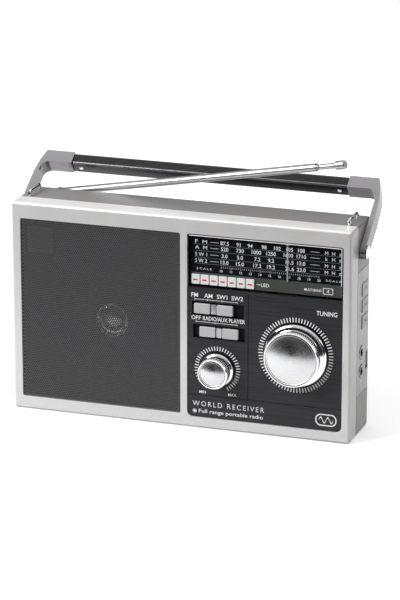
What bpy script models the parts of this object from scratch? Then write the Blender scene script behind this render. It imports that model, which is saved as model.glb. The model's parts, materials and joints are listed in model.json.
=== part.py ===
"""A portable multiband radio receiver with a bail handle and a telescopic antenna.

The frame stands on Z = 0 under the middle of the cabinet: +X is to the right as seen
from the front, the front faces -Y, and +Z is up. Sizes below are in millimetres, and
the mesh builders turn them into metres.
"""

import math

import bmesh
import bpy
from mathutils import Matrix, Vector

MM = 0.001
GAP = 0.3

# Cabinet
CABINET_W, CABINET_D, CABINET_H = 265.0, 49.0, 162.0
HALF_W = CABINET_W / 2
FRONT_Y, BACK_Y = -CABINET_D / 2, CABINET_D / 2
SEAM_Y = FRONT_Y + 17.0
FRONT_WALL, WALL = 3.0, 2.5
EDGE_R = 2.0

# Openings in the front wall, as (low x, low z, high x, high z)
GRILLE_WINDOW = (-125.2, 10.0, 1.3, 149.9)
CONTROL_WINDOW = (6.6, 8.4, 126.4, 150.0)
LOWER_CORNER_R = 4.5
DIAL_BOTTOM = 109.4

# Controls on the fascia, as (x, z) centres
FASCIA_FRONT, FASCIA_BACK = FRONT_Y + 0.8, FRONT_Y + 3.8
TUNING = (90.7, 64.5)
VOLUME = (30.1, 47.1)
TUNING_R, VOLUME_R = 24.0, 12.7
KNOB_FRONT = FRONT_Y - 12.1
SHAFT_R = 3.0
BAND_SLOT = (10.3, 88.1, 50.6, 98.5)
FUNCTION_SLOT = (11.2, 70.4, 51.4, 80.8)
SLIDER_L, SLIDER_H = 30.4, 8.0
BAND_X, FUNCTION_X = 27.2, 31.4
BAND_TRAVEL, FUNCTION_TRAVEL = 7.8, 4.6

# Dial drive: the cord runs in one plane round the spindle, the drum and two pulleys
CORD_Y, CORD_R = -13.0, 0.4
CORD_TURN_R = 5.0
DRUM, DRUM_CORD_R = (70.0, 92.0), 22.6
PULLEYS = {"left": (16.5, 141.2), "right": (117.5, 141.2)}
POINTER_X = 83.0

# Loudspeaker
SPEAKER = (-53.3, 76.5)

# Right-hand side panel
PANEL_Z = (30.3, 126.6)
BUTTON_Y, BUTTON_ZS, BUTTON_SIZE = 12.0, (110.4, 97.9, 85.4), (14.8, 9.6)
JACK_Y, JACK_ZS = 4.5, {"headphone_jack": 62.5, "aux_jack": 48.0}
USB_Y, USB_Z = 19.1, 52.5

# Rear: battery bay for four C cells, mains inlet, screws
BAY = (0.5, 7.6, 112.5, 62.4)
BAY_FRONT_Y = -4.6
DOOR_HINGE_Y, DOOR_HINGE_Z = BACK_Y - 1.0, 7.9
INLET = (-104.0, 27.0)
SCREWS = {"a": (-8.0, 5.2), "b": (-121.5, 5.2), "c": (-98.0, 156.2), "d": (118.0, 156.2)}

# Bail handle, drawn upright and then leant back about its pivot
PIVOT_Y, PIVOT_Z = 0.3, 141.3
HANDLE_LEAN = math.radians(54.3)
ARM_IN, ARM_OUT, ARM_TOP_OUT = HALF_W + 0.4, 137.0, 131.7
ARM_HALF_DEPTH, ARM_END_R = 5.8, 5.9
BAR_IN_R, BAR_OUT_R = 54.3, 65.0
GRIP_HALF_L, GRIP_SCREW_X = 108.9, 102.5

# Strap lugs
LUG_X, LUG_Y0, LUG_Y1, LUG_TOP, LUG_R = 124.8, -5.2, 15.8, 167.2, 1.2

# Telescopic antenna, drawn along +X from its tilt pin
ANTENNA_BASE = (-118.0, 36.1, 155.1)
ANTENNA_YAW, ANTENNA_RISE = math.radians(-10.0), math.radians(12.1)
ANTENNA_END, TUBE_END = 249.0, 225.0
TUBE_RADII = {"outer": (3.0, 2.6), "middle": (2.4, 2.0), "inner": (1.8, 1.4)}
ROD_R, TIP_R = 1.15, 3.3

COLOURS = {
    "silver_paint": ((0.62, 0.61, 0.60), 0.35, 0.6),
    "front_silver": ((0.80, 0.79, 0.78), 0.35, 0.5),
    "black_fascia": ((0.035, 0.035, 0.04), 0.35, 0.5),
    "grille_metal": ((0.09, 0.09, 0.10), 0.45, 0.6),
    "chrome": ((0.75, 0.75, 0.77), 0.10, 1.0),
    "brushed_cap": ((0.70, 0.70, 0.71), 0.25, 1.0),
    "satin_arm": ((0.42, 0.42, 0.44), 0.30, 0.9),
    "black_gloss": ((0.02, 0.02, 0.02), 0.12, 0.0),
    "white_plastic": ((0.72, 0.72, 0.76), 0.30, 0.0),
    "clear_window": ((0.85, 0.88, 0.90), 0.03, 0.0),
    "scale_print": ((0.10, 0.10, 0.11), 0.50, 0.0),
    "pointer_paint": ((0.85, 0.80, 0.72), 0.40, 0.0),
    "paper": ((0.06, 0.06, 0.07), 0.85, 0.0),
    "steel": ((0.55, 0.56, 0.58), 0.30, 1.0),
    "circuit_board": ((0.05, 0.22, 0.10), 0.50, 0.0),
    "grey_plastic": ((0.30, 0.30, 0.31), 0.50, 0.0),
    "cord_fibre": ((0.75, 0.72, 0.62), 0.80, 0.0),
    "ferrite": ((0.05, 0.05, 0.05), 0.60, 0.0),
    "brass": ((0.75, 0.60, 0.30), 0.25, 1.0),
}


def clear_scene():
    for obj in list(bpy.data.objects):
        bpy.data.objects.remove(obj, do_unlink=True)


def make_material(name):
    colour, roughness, metallic = COLOURS[name]
    made = bpy.data.materials.new(name)
    made.use_nodes = True
    shader = made.node_tree.nodes["Principled BSDF"]
    shader.inputs["Base Color"].default_value = (*colour, 1.0)
    shader.inputs["Roughness"].default_value = roughness
    shader.inputs["Metallic"].default_value = metallic
    made.diffuse_color = (*colour, 1.0)
    return made


# Mesh builders. Each returns a closed bmesh in metres.


def box(low, high):
    bm = bmesh.new()
    bmesh.ops.create_cube(bm, size=1.0)
    low, high = Vector(low) * MM, Vector(high) * MM
    size = high - low
    bmesh.ops.scale(bm, vec=size, verts=bm.verts)
    bmesh.ops.translate(bm, vec=(low + high) / 2, verts=bm.verts)
    return bm


def soften(bm, radius, segments=2, keep=lambda edge: True):
    """Rounds the edges that keep() accepts."""
    edges = [edge for edge in bm.edges if keep(edge)]
    bmesh.ops.bevel(
        bm, geom=edges, offset=radius * MM, segments=segments, profile=0.5, affect="EDGES"
    )
    return bm


def soft_box(low, high, radius, segments=2, keep=lambda edge: True):
    return soften(box(low, high), radius, segments, keep)


def not_in_plane(axis, value):
    """Accepts the edges that don't lie in the plane where the axis has this value."""
    return lambda edge: any(abs(v.co[axis] - value * MM) > 1e-6 for v in edge.verts)


def turn_to(bm, axis):
    """Turns a shape made along +Z to run along the named axis."""
    if axis == "X":
        bmesh.ops.rotate(bm, cent=(0, 0, 0), matrix=Matrix.Rotation(math.pi / 2, 3, "Y"), verts=bm.verts)
    if axis == "Y":
        bmesh.ops.rotate(bm, cent=(0, 0, 0), matrix=Matrix.Rotation(-math.pi / 2, 3, "X"), verts=bm.verts)


def lathe(axis, centre, profile, segments=32):
    """Revolves (radius, position) points about the axis through centre. A profile that
    starts and ends on the axis makes a solid; one that stays off it makes a ring."""
    bm = bmesh.new()
    rings = []
    for radius, along in profile:
        if radius == 0:
            rings.append([bm.verts.new((0, 0, along * MM))])
            continue
        ring = []
        for step in range(segments):
            angle = 2 * math.pi * step / segments
            ring.append(bm.verts.new((radius * math.cos(angle) * MM, radius * math.sin(angle) * MM, along * MM)))
        rings.append(ring)
    pairs = list(zip(rings, rings[1:]))
    if profile[0][0] != 0:
        pairs.append((rings[-1], rings[0]))
    for first, second in pairs:
        if len(first) == 1 and len(second) == 1:
            continue
        for step in range(segments):
            after = (step + 1) % segments
            corners = [first[step % len(first)], first[after % len(first)]]
            corners += [second[after % len(second)], second[step % len(second)]]
            bm.faces.new(list(dict.fromkeys(corners)))
    turn_to(bm, axis)
    bmesh.ops.translate(bm, vec=Vector(centre) * MM, verts=bm.verts)
    bmesh.ops.recalc_face_normals(bm, faces=bm.faces)
    return bm


def rod(axis, centre, radius, start, end, segments=20):
    return lathe(axis, centre, [(0, start), (radius, start), (radius, end), (0, end)], segments)


def slab(outline, start, end, plane="XZ"):
    """Extrudes an outline of (u, v) points: in XZ along Y, or in YZ along X."""
    bm = bmesh.new()
    if plane == "XZ":
        corners = [bm.verts.new((u * MM, start * MM, v * MM)) for u, v in outline]
        step = Vector((0, (end - start) * MM, 0))
    else:
        corners = [bm.verts.new((start * MM, u * MM, v * MM)) for u, v in outline]
        step = Vector(((end - start) * MM, 0, 0))
    face = bm.faces.new(corners)
    made = bmesh.ops.extrude_face_region(bm, geom=[face])
    moved = [item for item in made["geom"] if isinstance(item, bmesh.types.BMVert)]
    bmesh.ops.translate(bm, vec=step, verts=moved)
    bmesh.ops.recalc_face_normals(bm, faces=bm.faces)
    return bm


def arc(centre, radius, start_deg, end_deg, steps=6):
    points = []
    for step in range(steps + 1):
        angle = math.radians(start_deg + (end_deg - start_deg) * step / steps)
        points.append((centre[0] + radius * math.cos(angle), centre[1] + radius * math.sin(angle)))
    return points


def round_rectangle(window, inset=0.0, lower_r=1.5, upper_r=1.5):
    x0, z0, x1, z1 = window
    x0, z0, x1, z1 = x0 + inset, z0 + inset, x1 - inset, z1 - inset
    points = arc((x0 + lower_r, z0 + lower_r), lower_r, 180, 270, 4)
    points += arc((x1 - lower_r, z0 + lower_r), lower_r, 270, 360, 4)
    points += arc((x1 - upper_r, z1 - upper_r), upper_r, 0, 90, 4)
    points += arc((x0 + upper_r, z1 - upper_r), upper_r, 90, 180, 4)
    return points


# Objects


def add(name, bm, colour, smooth=40.0):
    mesh = bpy.data.meshes.new(name)
    bm.to_mesh(mesh)
    bm.free()
    mesh.materials.append(MATERIALS[colour])
    mesh.shade_smooth()
    mesh.set_sharp_from_angle(angle=math.radians(smooth))
    obj = bpy.data.objects.new(name, mesh)
    bpy.context.scene.collection.objects.link(obj)
    return obj


def reshape(target, operation, *shapes):
    """Adds one Boolean modifier for each shape, whose object is left out of renders."""
    for bm in shapes:
        mesh = bpy.data.meshes.new(f"{target.name}_tool")
        bm.to_mesh(mesh)
        bm.free()
        tool = bpy.data.objects.new(f"{target.name}_tool", mesh)
        tool.hide_render = True
        tool.display_type = "WIRE"
        bpy.context.scene.collection.objects.link(tool)
        modifier = target.modifiers.new(operation.lower(), "BOOLEAN")
        modifier.operation = operation
        modifier.solver = "EXACT"
        modifier.object = tool
        target["tools"] = [*target.get("tools", []), tool.name]
    return target


def cut(target, *shapes):
    return reshape(target, "DIFFERENCE", *shapes)


def join(target, *shapes):
    return reshape(target, "UNION", *shapes)


def origin_at(obj, point):
    """Moves the object's origin, and its tools', to a point on its joint's axis."""
    offset = Vector(point) * MM
    for each in [obj, *[bpy.data.objects[name] for name in obj.get("tools", [])]]:
        each.data.transform(Matrix.Translation(-offset))
        each.location = offset
    return obj


def hang_on(parent, *pieces):
    """Parents pieces and their tools; their meshes are in the parent's own axes."""
    for piece in pieces:
        for each in [piece, *[bpy.data.objects[name] for name in piece.get("tools", [])]]:
            each.parent = parent


def empty(name, location, rotation=(0, 0, 0), parent=None):
    made = bpy.data.objects.new(name, None)
    made.location = Vector(location) * MM
    made.rotation_euler = rotation
    made.parent = parent
    bpy.context.scene.collection.objects.link(made)
    return made


# Casing


def front_cabinet():
    shell = add(
        "front_cabinet",
        soft_box((-HALF_W, FRONT_Y, 0), (HALF_W, SEAM_Y, CABINET_H), EDGE_R, 3, not_in_plane(1, SEAM_Y)),
        "front_silver",
    )
    inner = (-HALF_W + WALL, FRONT_Y + FRONT_WALL, WALL), (HALF_W - WALL, SEAM_Y + 1, CABINET_H - WALL)
    join_posts = [rod("Y", (x, 0, z), 2.9, FRONT_Y + 2, SEAM_Y - GAP, 12) for x, z in SCREWS.values()]
    cut(shell, box(*inner))
    cut(shell, slab(round_rectangle(GRILLE_WINDOW), FRONT_Y - 2, FRONT_Y + 5))
    cut(shell, slab(round_rectangle(CONTROL_WINDOW, 0, LOWER_CORNER_R), FRONT_Y - 2, FRONT_Y + 5))
    join(shell, *join_posts)
    cut(shell, *[rod("Y", (x, 0, z), 1.7, -15.0, SEAM_Y + 1, 12) for x, z in SCREWS.values()])
    return shell


def rear_cabinet():
    low_y = SEAM_Y + GAP
    shell = add(
        "rear_cabinet",
        soft_box((-HALF_W, low_y, 0), (HALF_W, BACK_Y, CABINET_H), EDGE_R, 3, not_in_plane(1, low_y)),
        "silver_paint",
    )
    cut(shell, box((-HALF_W + WALL, low_y - 1, WALL), (HALF_W - WALL, BACK_Y - WALL, CABINET_H - WALL)))
    cut(shell, box((HALF_W - 2.6, low_y - 1, PANEL_Z[0]), (HALF_W + 1, BACK_Y + 1, PANEL_Z[1])))
    x0, z0, x1, z1 = BAY
    join(shell, box((x0 - 2.5, BAY_FRONT_Y - 1.3, z0 - 2.4), (x1 + 2.5, BACK_Y - 1.5, z1 + 2.4)))
    cut(shell, box((x0, BAY_FRONT_Y, z0), (x1, BACK_Y + 1, z1)))
    cut(shell, box((x0 - 1, BACK_Y - 2.3, z0 - 1), (x1 + 1, BACK_Y + 1, z1 + 1)))
    pivots = [(-1, "left"), (1, "right")]
    for side, _ in pivots:
        ends = sorted((side * (HALF_W - 10.5), side * (HALF_W - 1.5)))
        join(shell, rod("X", (0, PIVOT_Y, PIVOT_Z), 7.0, *ends))
        ends = sorted((side * (HALF_W - 12), side * (HALF_W + 1)))
        cut(shell, rod("X", (0, PIVOT_Y, PIVOT_Z), SHAFT_R + GAP, *ends))
        for y in (LUG_Y0, LUG_Y1):
            cut(shell, rod("Z", (side * LUG_X, y, 0), LUG_R + GAP, 157.0, CABINET_H + 2, 12))
    for x, z in SCREWS.values():
        join(shell, rod("Y", (x, 0, z), 3.9, low_y + 0.6, BACK_Y - 1.5, 16))
        cut(shell, rod("Y", (x, 0, z), 3.1, -2.5, BACK_Y + 1, 16))
        cut(shell, rod("Y", (x, 0, z), 1.7, low_y - 1, -1.5, 12))
    inlet_x, inlet_z = INLET
    cut(shell, box((inlet_x - 9.3, 20, inlet_z - 6.3), (inlet_x + 9.3, BACK_Y + 1, inlet_z + 6.3)))
    for row in range(6):
        z = 96.0 + 5.0 * row
        cut(shell, box((-82, BACK_Y - 4, z), (-38, BACK_Y + 1, z + 2.0)))
    return shell


def side_panel():
    low = (HALF_W - 2.3, SEAM_Y + 2 * GAP, PANEL_Z[0] + GAP)
    high = (HALF_W, BACK_Y, PANEL_Z[1] - GAP)
    corner = lambda edge: all(
        abs(v.co.x - HALF_W * MM) < 1e-6 and abs(v.co.y - BACK_Y * MM) < 1e-6 for v in edge.verts
    )
    panel = add("side_panel", soft_box(low, high, EDGE_R, 3, corner), "silver_paint")
    half_y, half_z = BUTTON_SIZE[0] / 2 + 0.35, BUTTON_SIZE[1] / 2 + 0.35
    for z in BUTTON_ZS:
        cut(panel, box((125, BUTTON_Y - half_y, z - half_z), (135, BUTTON_Y + half_y, z + half_z)))
    for z in JACK_ZS.values():
        cut(panel, rod("X", (0, JACK_Y, z), 5.5, 125, 135, 24))
    cut(panel, box((125, USB_Y - 2.9, USB_Z - 7.3), (135, USB_Y + 2.9, USB_Z + 7.3)))
    return panel


def battery_door():
    x0, z0, x1, z1 = BAY
    low, high = (x0 - 0.7, BACK_Y - 2.0, z0 - 0.7), (x1 + 0.7, BACK_Y, z1 + 0.7)
    at_foot = lambda edge: all(abs(v.co.z - low[2] * MM) < 1e-6 for v in edge.verts) and (
        abs(edge.verts[0].co.x - edge.verts[1].co.x) > 0.01
    )
    door = add("battery_door", soft_box(low, high, 0.95, 3, at_foot), "silver_paint")
    middle = (x0 + x1) / 2
    join(door, soft_box((middle - 9, BACK_Y - 1, z1 - 5.5), (middle + 9, BACK_Y + 0.8, z1 - 3.0), 0.4))
    return origin_at(door, (0, DOOR_HINGE_Y, DOOR_HINGE_Z))


def case_screws():
    for name, (x, z) in SCREWS.items():
        profile = [(0, -13.5), (1.3, -13.5), (1.3, -2.2), (2.8, -2.2), (2.8, -0.8), (1.6, 0.0), (0, 0.0)]
        screw = add(f"case_screw_{name}", lathe("Y", (x, 0, z), profile, 12), "steel")
        cut(screw, box((x - 2, -0.9, z - 0.35), (x + 2, 0.5, z + 0.35)))


# Loudspeaker


def loudspeaker():
    x0, z0, x1, z1 = GRILLE_WINDOW
    grille = add(
        "speaker_grille",
        slab(round_rectangle(GRILLE_WINDOW, GAP, 1.2, 1.2), FRONT_Y + 0.6, FRONT_Y + 4.1),
        "grille_metal",
    )
    rim = (x0 - 1.3, z0 - 1.3, x1 + 1.3, z1 + 1.3)
    join(grille, slab(round_rectangle(rim), FRONT_Y + FRONT_WALL + GAP, FRONT_Y + 4.2))
    cut(grille, slab(round_rectangle(GRILLE_WINDOW, 1.4), FRONT_Y + 1.6, FRONT_Y + 6))
    x, z = SPEAKER
    basket = [(0, 14), (28, 14), (28, -1), (25, -1), (49, -18), (53, -18), (53, -19.8)]
    basket += [(45.5, -19.8), (45.5, -18.6), (22, -2.2), (0, -2.2)]
    add("speaker_basket", lathe("Y", (x, 0, z), basket, 40), "steel")
    front = [(44.6, -19.3), (42.5, -20.0), (40, -19.6), (38, -18.6), (13.0, -6.6)]
    front += [(12.6, -7.6), (10.5, -9.3), (7, -10.9), (3.5, -11.7), (0, -12)]
    back = [(0, -11.2), (3.5, -10.9), (7, -10.1), (10, -8.7), (12, -6.2), (12.6, -5.4)]
    back += [(37.6, -17.7), (40, -18.7), (42.5, -19.1), (44.6, -18.5)]
    cone = lathe("Y", (x, 0, z), [*reversed(back), *reversed(front)][::-1], 40)
    add("speaker_cone", cone, "paper")


# Dial and its drive


def dial():
    x0, _, x1, z1 = CONTROL_WINDOW
    pane = round_rectangle((x0, DIAL_BOTTOM, x1, z1), GAP, 0.4, 1.3)
    add("dial_window", slab(pane, FRONT_Y + 0.3, FRONT_Y + 2.3), "clear_window")
    plate = add("dial_scale", box((8, -20.2, 110.4), (125, -19.4, 146.4)), "scale_print")
    join(plate, *[rod("Y", (x, 0, z), 1.4, -19.8, CORD_Y + 1.8, 12) for x, z in PULLEYS.values()])
    add("signal_led_lens", soft_box((10.4, -21.8, 112.8), (58.6, -20.5, 117.6), 0.3, 1), "white_plastic")
    pointer = add("dial_pointer", box((POINTER_X - 0.4, -21.6, 119.5), (POINTER_X + 0.4, -20.8, 148.2)), "pointer_paint")
    join(pointer, box((POINTER_X - 1.5, -21.5, 147.0), (POINTER_X + 1.5, CORD_Y + 0.8, 148.4)))
    origin_at(pointer, (POINTER_X, CORD_Y, 147.0))


def groove(cord_radius, half_width=1.6):
    """The rim of a cord wheel, front to back: two flanges with the cord's groove between."""
    floor, flange = cord_radius - CORD_R - 0.4, cord_radius + 1.0
    return [
        (flange, CORD_Y - half_width),
        (flange, CORD_Y - 0.8),
        (floor, CORD_Y - 0.8),
        (floor, CORD_Y + 0.8),
        (flange, CORD_Y + 0.8),
        (flange, CORD_Y + half_width),
    ]


def dial_drive():
    for side, (x, z) in PULLEYS.items():
        profile = [(1.8, CORD_Y - 1.6), *groove(CORD_TURN_R), (1.8, CORD_Y + 1.6)]
        origin_at(add(f"cord_pulley_{side}", lathe("Y", (x, 0, z), profile, 20), "white_plastic"), (x, CORD_Y, z))
    x, z = DRUM
    profile = [(0, CORD_Y - 1.6), *groove(DRUM_CORD_R), (SHAFT_R, CORD_Y + 1.6), (SHAFT_R, -5.0), (0, -5.0)]
    drum = add("tuning_drum", lathe("Y", (x, 0, z), profile, 40), "white_plastic")
    for turn in range(3):
        angle = math.radians(90 + 120 * turn)
        hole = (x + 13 * math.cos(angle), 0, z + 13 * math.sin(angle))
        cut(drum, rod("Y", hole, 5.0, CORD_Y - 3, CORD_Y + 3, 16))
    origin_at(drum, (x, CORD_Y, z))
    x, z = TUNING
    profile = [(0, -33.9), (SHAFT_R, -33.9), (SHAFT_R, CORD_Y - 1.6), *groove(CORD_TURN_R)]
    profile += [(2.5, CORD_Y + 1.6), (2.5, -8.0), (0, -8.0)]
    origin_at(add("tuning_spindle", lathe("Y", (x, 0, z), profile, 20), "steel"), (x, CORD_Y, z))
    dial_cord()
    add("tuning_capacitor", soft_box((60, -4.7, 82), (80, 9, 102), 0.8, 1), "grey_plastic")


def dial_cord():
    """The closed cord: straight runs between wheels and an arc on each, clockwise."""
    wheels = [(PULLEYS["left"], CORD_TURN_R), (PULLEYS["right"], CORD_TURN_R)]
    wheels += [(TUNING, CORD_TURN_R), (DRUM, DRUM_CORD_R)]
    leave = []
    for index, (here, here_r) in enumerate(wheels):
        there, there_r = wheels[(index + 1) % len(wheels)]
        dx, dz = there[0] - here[0], there[1] - here[1]
        length = math.hypot(dx, dz)
        leave.append(math.atan2(dz, dx) + math.acos((here_r - there_r) / length))
    points = []
    for index, (here, radius) in enumerate(wheels):
        start, end = leave[index - 1], leave[index]
        sweep = (start - end) % (2 * math.pi)
        steps = max(3, math.ceil(sweep / math.radians(20)))
        for step in range(steps + 1):
            angle = start - sweep * step / steps
            points.append((here[0] + radius * math.cos(angle), here[1] + radius * math.sin(angle)))
    add_tube("dial_cord", [(x, CORD_Y, z) for x, z in points], CORD_R, "cord_fibre", 1, True)


def add_tube(name, points, radius, colour, resolution=2, closed=False):
    curve = bpy.data.curves.new(name, "CURVE")
    curve.dimensions = "3D"
    curve.bevel_depth = radius * MM
    curve.bevel_resolution = resolution
    curve.use_fill_caps = True
    spline = curve.splines.new("POLY")
    spline.points.add(len(points) - 1)
    for point, co in zip(spline.points, points):
        point.co = (*[value * MM for value in co], 1.0)
    spline.use_cyclic_u = closed
    curve.materials.append(MATERIALS[colour])
    obj = bpy.data.objects.new(name, curve)
    bpy.context.scene.collection.objects.link(obj)
    return obj


# Controls


def control_fascia():
    x0, z0, x1, _ = CONTROL_WINDOW
    window = (x0, z0, x1, DIAL_BOTTOM)
    fascia = add(
        "control_fascia",
        slab(round_rectangle(window, GAP, LOWER_CORNER_R - GAP, 0.6), FASCIA_FRONT, FASCIA_BACK),
        "black_fascia",
    )
    floor_y = FASCIA_FRONT + 1.9
    for (sx0, sz0, sx1, sz1), centre, back, ahead in (
        (BAND_SLOT, BAND_X, 0.0, BAND_TRAVEL),
        (FUNCTION_SLOT, FUNCTION_X, FUNCTION_TRAVEL, FUNCTION_TRAVEL),
    ):
        middle = (sz0 + sz1) / 2
        cut(fascia, box((sx0, FASCIA_FRONT - 2, sz0), (sx1, floor_y, sz1)))
        stem = (centre - 4.4 - back, FASCIA_FRONT, middle - 1.9), (centre + 4.4 + ahead, FASCIA_BACK + 2, middle + 1.9)
        cut(fascia, box(*stem))
    for (x, z), radius in ((TUNING, TUNING_R + 1.4), (VOLUME, VOLUME_R + 1.7)):
        cut(fascia, rod("Y", (x, 0, z), radius, FASCIA_FRONT - 2, FASCIA_FRONT + 1.7, 40))
        cut(fascia, rod("Y", (x, 0, z), SHAFT_R + 0.4, FASCIA_FRONT, FASCIA_BACK + 2))
    cut(fascia, box((53.7, FASCIA_FRONT - 1, 26.4), (54.4, FASCIA_FRONT + 0.5, 107.6)))
    cut(fascia, box((x0 - 1, FASCIA_FRONT - 1, 25.6), (x1 + 1, FASCIA_FRONT + 0.5, 26.2)))


def knob(name, centre, base_r, face_r):
    """A stepped turned knob: a wide base ring, a waist, and a rimmed cap round a disc."""
    x, z = centre
    waist = face_r - 0.4
    back, rim = FASCIA_FRONT + 1.3, KNOB_FRONT
    profile = [
        (SHAFT_R + GAP, back),
        (base_r, back),
        (base_r, rim + 11.0),
        (base_r - 0.7, rim + 10.2),
        (base_r - 1.3, rim + 9.9),
        (base_r - 1.3, rim + 8.1),
        (waist, rim + 7.5),
        (waist, rim + 5.6),
        (face_r, rim + 5.0),
        (face_r, rim + 0.8),
        (face_r - 0.7, rim),
        (face_r - 1.4, rim),
        (face_r - 1.4, rim + 1.1),
        (0, rim + 1.1),
        (0, rim + 2.3),
        (SHAFT_R + GAP, rim + 2.3),
    ]
    ring = profile[:13] + [(0, rim + 1.1)]
    solid = [(0, rim + 2.3), (SHAFT_R + GAP, rim + 2.3), *ring]
    origin_at(add(name, lathe("Y", (x, 0, z), solid, 40), "chrome"), (x, CORD_Y, z))
    disc_r = face_r - 1.7
    disc = [(0, rim + 0.8), (disc_r, rim + 0.8), (disc_r, rim + 0.25), (disc_r * 0.6, rim + 0.4), (0, rim + 0.45)]
    origin_at(add(f"{name}_cap", lathe("Y", (x, 0, z), disc, 40), "brushed_cap"), (x, CORD_Y, z))


def knobs():
    knob("tuning_knob", TUNING, TUNING_R, 21.3)
    knob("volume_knob", VOLUME, VOLUME_R, 11.8)
    x, z = VOLUME
    origin_at(add("volume_shaft", rod("Y", (x, 0, z), SHAFT_R, -33.9, -18.1), "steel"), (x, CORD_Y, z))
    add("volume_pot", rod("Y", (x, 0, z), 8.5, -17.8, -9.5, 24), "steel")


def slide_switch(name, slot, centre, back, ahead):
    middle = (slot[1] + slot[3]) / 2
    half_l, half_h = SLIDER_L / 2, SLIDER_H / 2
    low = (centre - half_l, FRONT_Y - 0.5, middle - half_h)
    slider = add(f"{name}_knob", soft_box(low, (centre + half_l, -22.1, middle + half_h), 0.6, 2), "white_plastic")
    join(slider, box((centre - 4, -22.6, middle - 1.4), (centre + 4, -18.7, middle + 1.4)))
    origin_at(slider, (centre, -22.1, middle))
    body = add(name, box((14, -20.4, middle - 5.3), (46, -15.2, middle + 5.3)), "grey_plastic")
    cut(body, box((centre - 4.5 - back, -22, middle - 2), (centre + 4.5 + ahead, -18.2, middle + 2)))


def slide_switches():
    slide_switch("band_switch", BAND_SLOT, BAND_X, 0.0, BAND_TRAVEL)
    slide_switch("function_switch", FUNCTION_SLOT, FUNCTION_X, FUNCTION_TRAVEL, FUNCTION_TRAVEL)


# Right-hand side


def push_buttons():
    half_y, half_z = BUTTON_SIZE[0] / 2, BUTTON_SIZE[1] / 2
    board = add("button_board", box((121.5, -2, 78), (123.1, 21, 118)), "circuit_board")
    for name, z in zip(("previous_button", "play_button", "next_button"), BUTTON_ZS):
        low = (129.0, BUTTON_Y - half_y, z - half_z)
        button = add(name, soft_box(low, (HALF_W + 0.7, BUTTON_Y + half_y, z + half_z), 0.5, 2), "white_plastic")
        flange = (128.6, BUTTON_Y - half_y - 1, z - half_z - 0.9), (129.8, BUTTON_Y + half_y + 1, z + half_z + 0.9)
        join(button, box(*flange))
        origin_at(button, (HALF_W, BUTTON_Y, z))
        join(board, box((122.5, BUTTON_Y - 3, z - 3), (126.8, BUTTON_Y + 3, z + 3)))


def sockets():
    for name, z in JACK_ZS.items():
        profile = [(0, 116.0), (4.2, 116.0), (4.2, 130.6), (5.2, 130.6), (5.2, 132.3), (4.6, 132.3)]
        profile += [(1.85, 130.4), (1.85, 118.0), (0, 118.0)]
        add(name, lathe("X", (0, JACK_Y, z), profile, 24), "black_gloss")
    usb = add("usb_socket", box((118, USB_Y - 2.6, USB_Z - 7), (132.3, USB_Y + 2.6, USB_Z + 7)), "steel")
    cut(usb, box((119.5, USB_Y - 2.2, USB_Z - 6.6), (134, USB_Y + 2.2, USB_Z + 6.6)))
    join(usb, box((119, USB_Y - 0.2, USB_Z - 5.5), (131, USB_Y + 1.7, USB_Z + 5.5)))
    x, z = INLET
    inlet = add("ac_inlet", soft_box((x - 9, 10, z - 6), (x + 9, 24.3, z + 6), 1.0, 2), "black_gloss")
    cut(inlet, soft_box((x - 7.3, 12, z - 4.2), (x + 7.3, 27, z + 4.2), 2.0, 2))
    join(inlet, *[rod("Y", (x + side * 4.3, 0, z), 1.15, 11, 22, 12) for side in (-1, 1)])


# Inside


def inner_works():
    board = add("main_board", box((8, -7.6, 66.5), (120, -6.0, 150)), "circuit_board")
    cut(board, rod("Y", (DRUM[0], 0, DRUM[1]), SHAFT_R + 0.6, -10, -4))
    core = add("mains_transformer", box((-120, -4, 36), (-92, 16, 60)), "steel")
    join(core, soft_box((-115.5, -6.5, 40), (-96.5, 18.5, 56), 1.5, 2))
    profile = [(0, -70), (4.5, -70), (4.5, -10), (6, -10), (6, 15), (4.5, 15), (4.5, 40), (0, 40)]
    add("ferrite_aerial", lathe("X", (0, 12, 149.5), profile, 20), "ferrite")
    x0, z0, x1, z1 = BAY
    springs = add("battery_spring_contact", box((x0 + 0.3, 3, z0 + 4), (x0 + 1.1, 15, z1 - 4)), "steel")
    nubs = add("battery_plate_contact", box((x1 - 1.1, 3, z0 + 4), (x1 - 0.3, 15, z1 - 4)), "steel")
    for z in (z0 + 13.6, z1 - 13.6):
        cone = [(0, x0 + 0.7), (5.5, x0 + 0.7), (3.5, x0 + 6.5), (0, x0 + 6.5)]
        join(springs, lathe("X", (0, 9, z), cone, 12))
        join(nubs, lathe("X", (0, 9, z), [(0, x1 - 2.2), (3, x1 - 2.2), (4, x1 - 0.7), (0, x1 - 0.7)], 12))


# Bail handle


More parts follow.
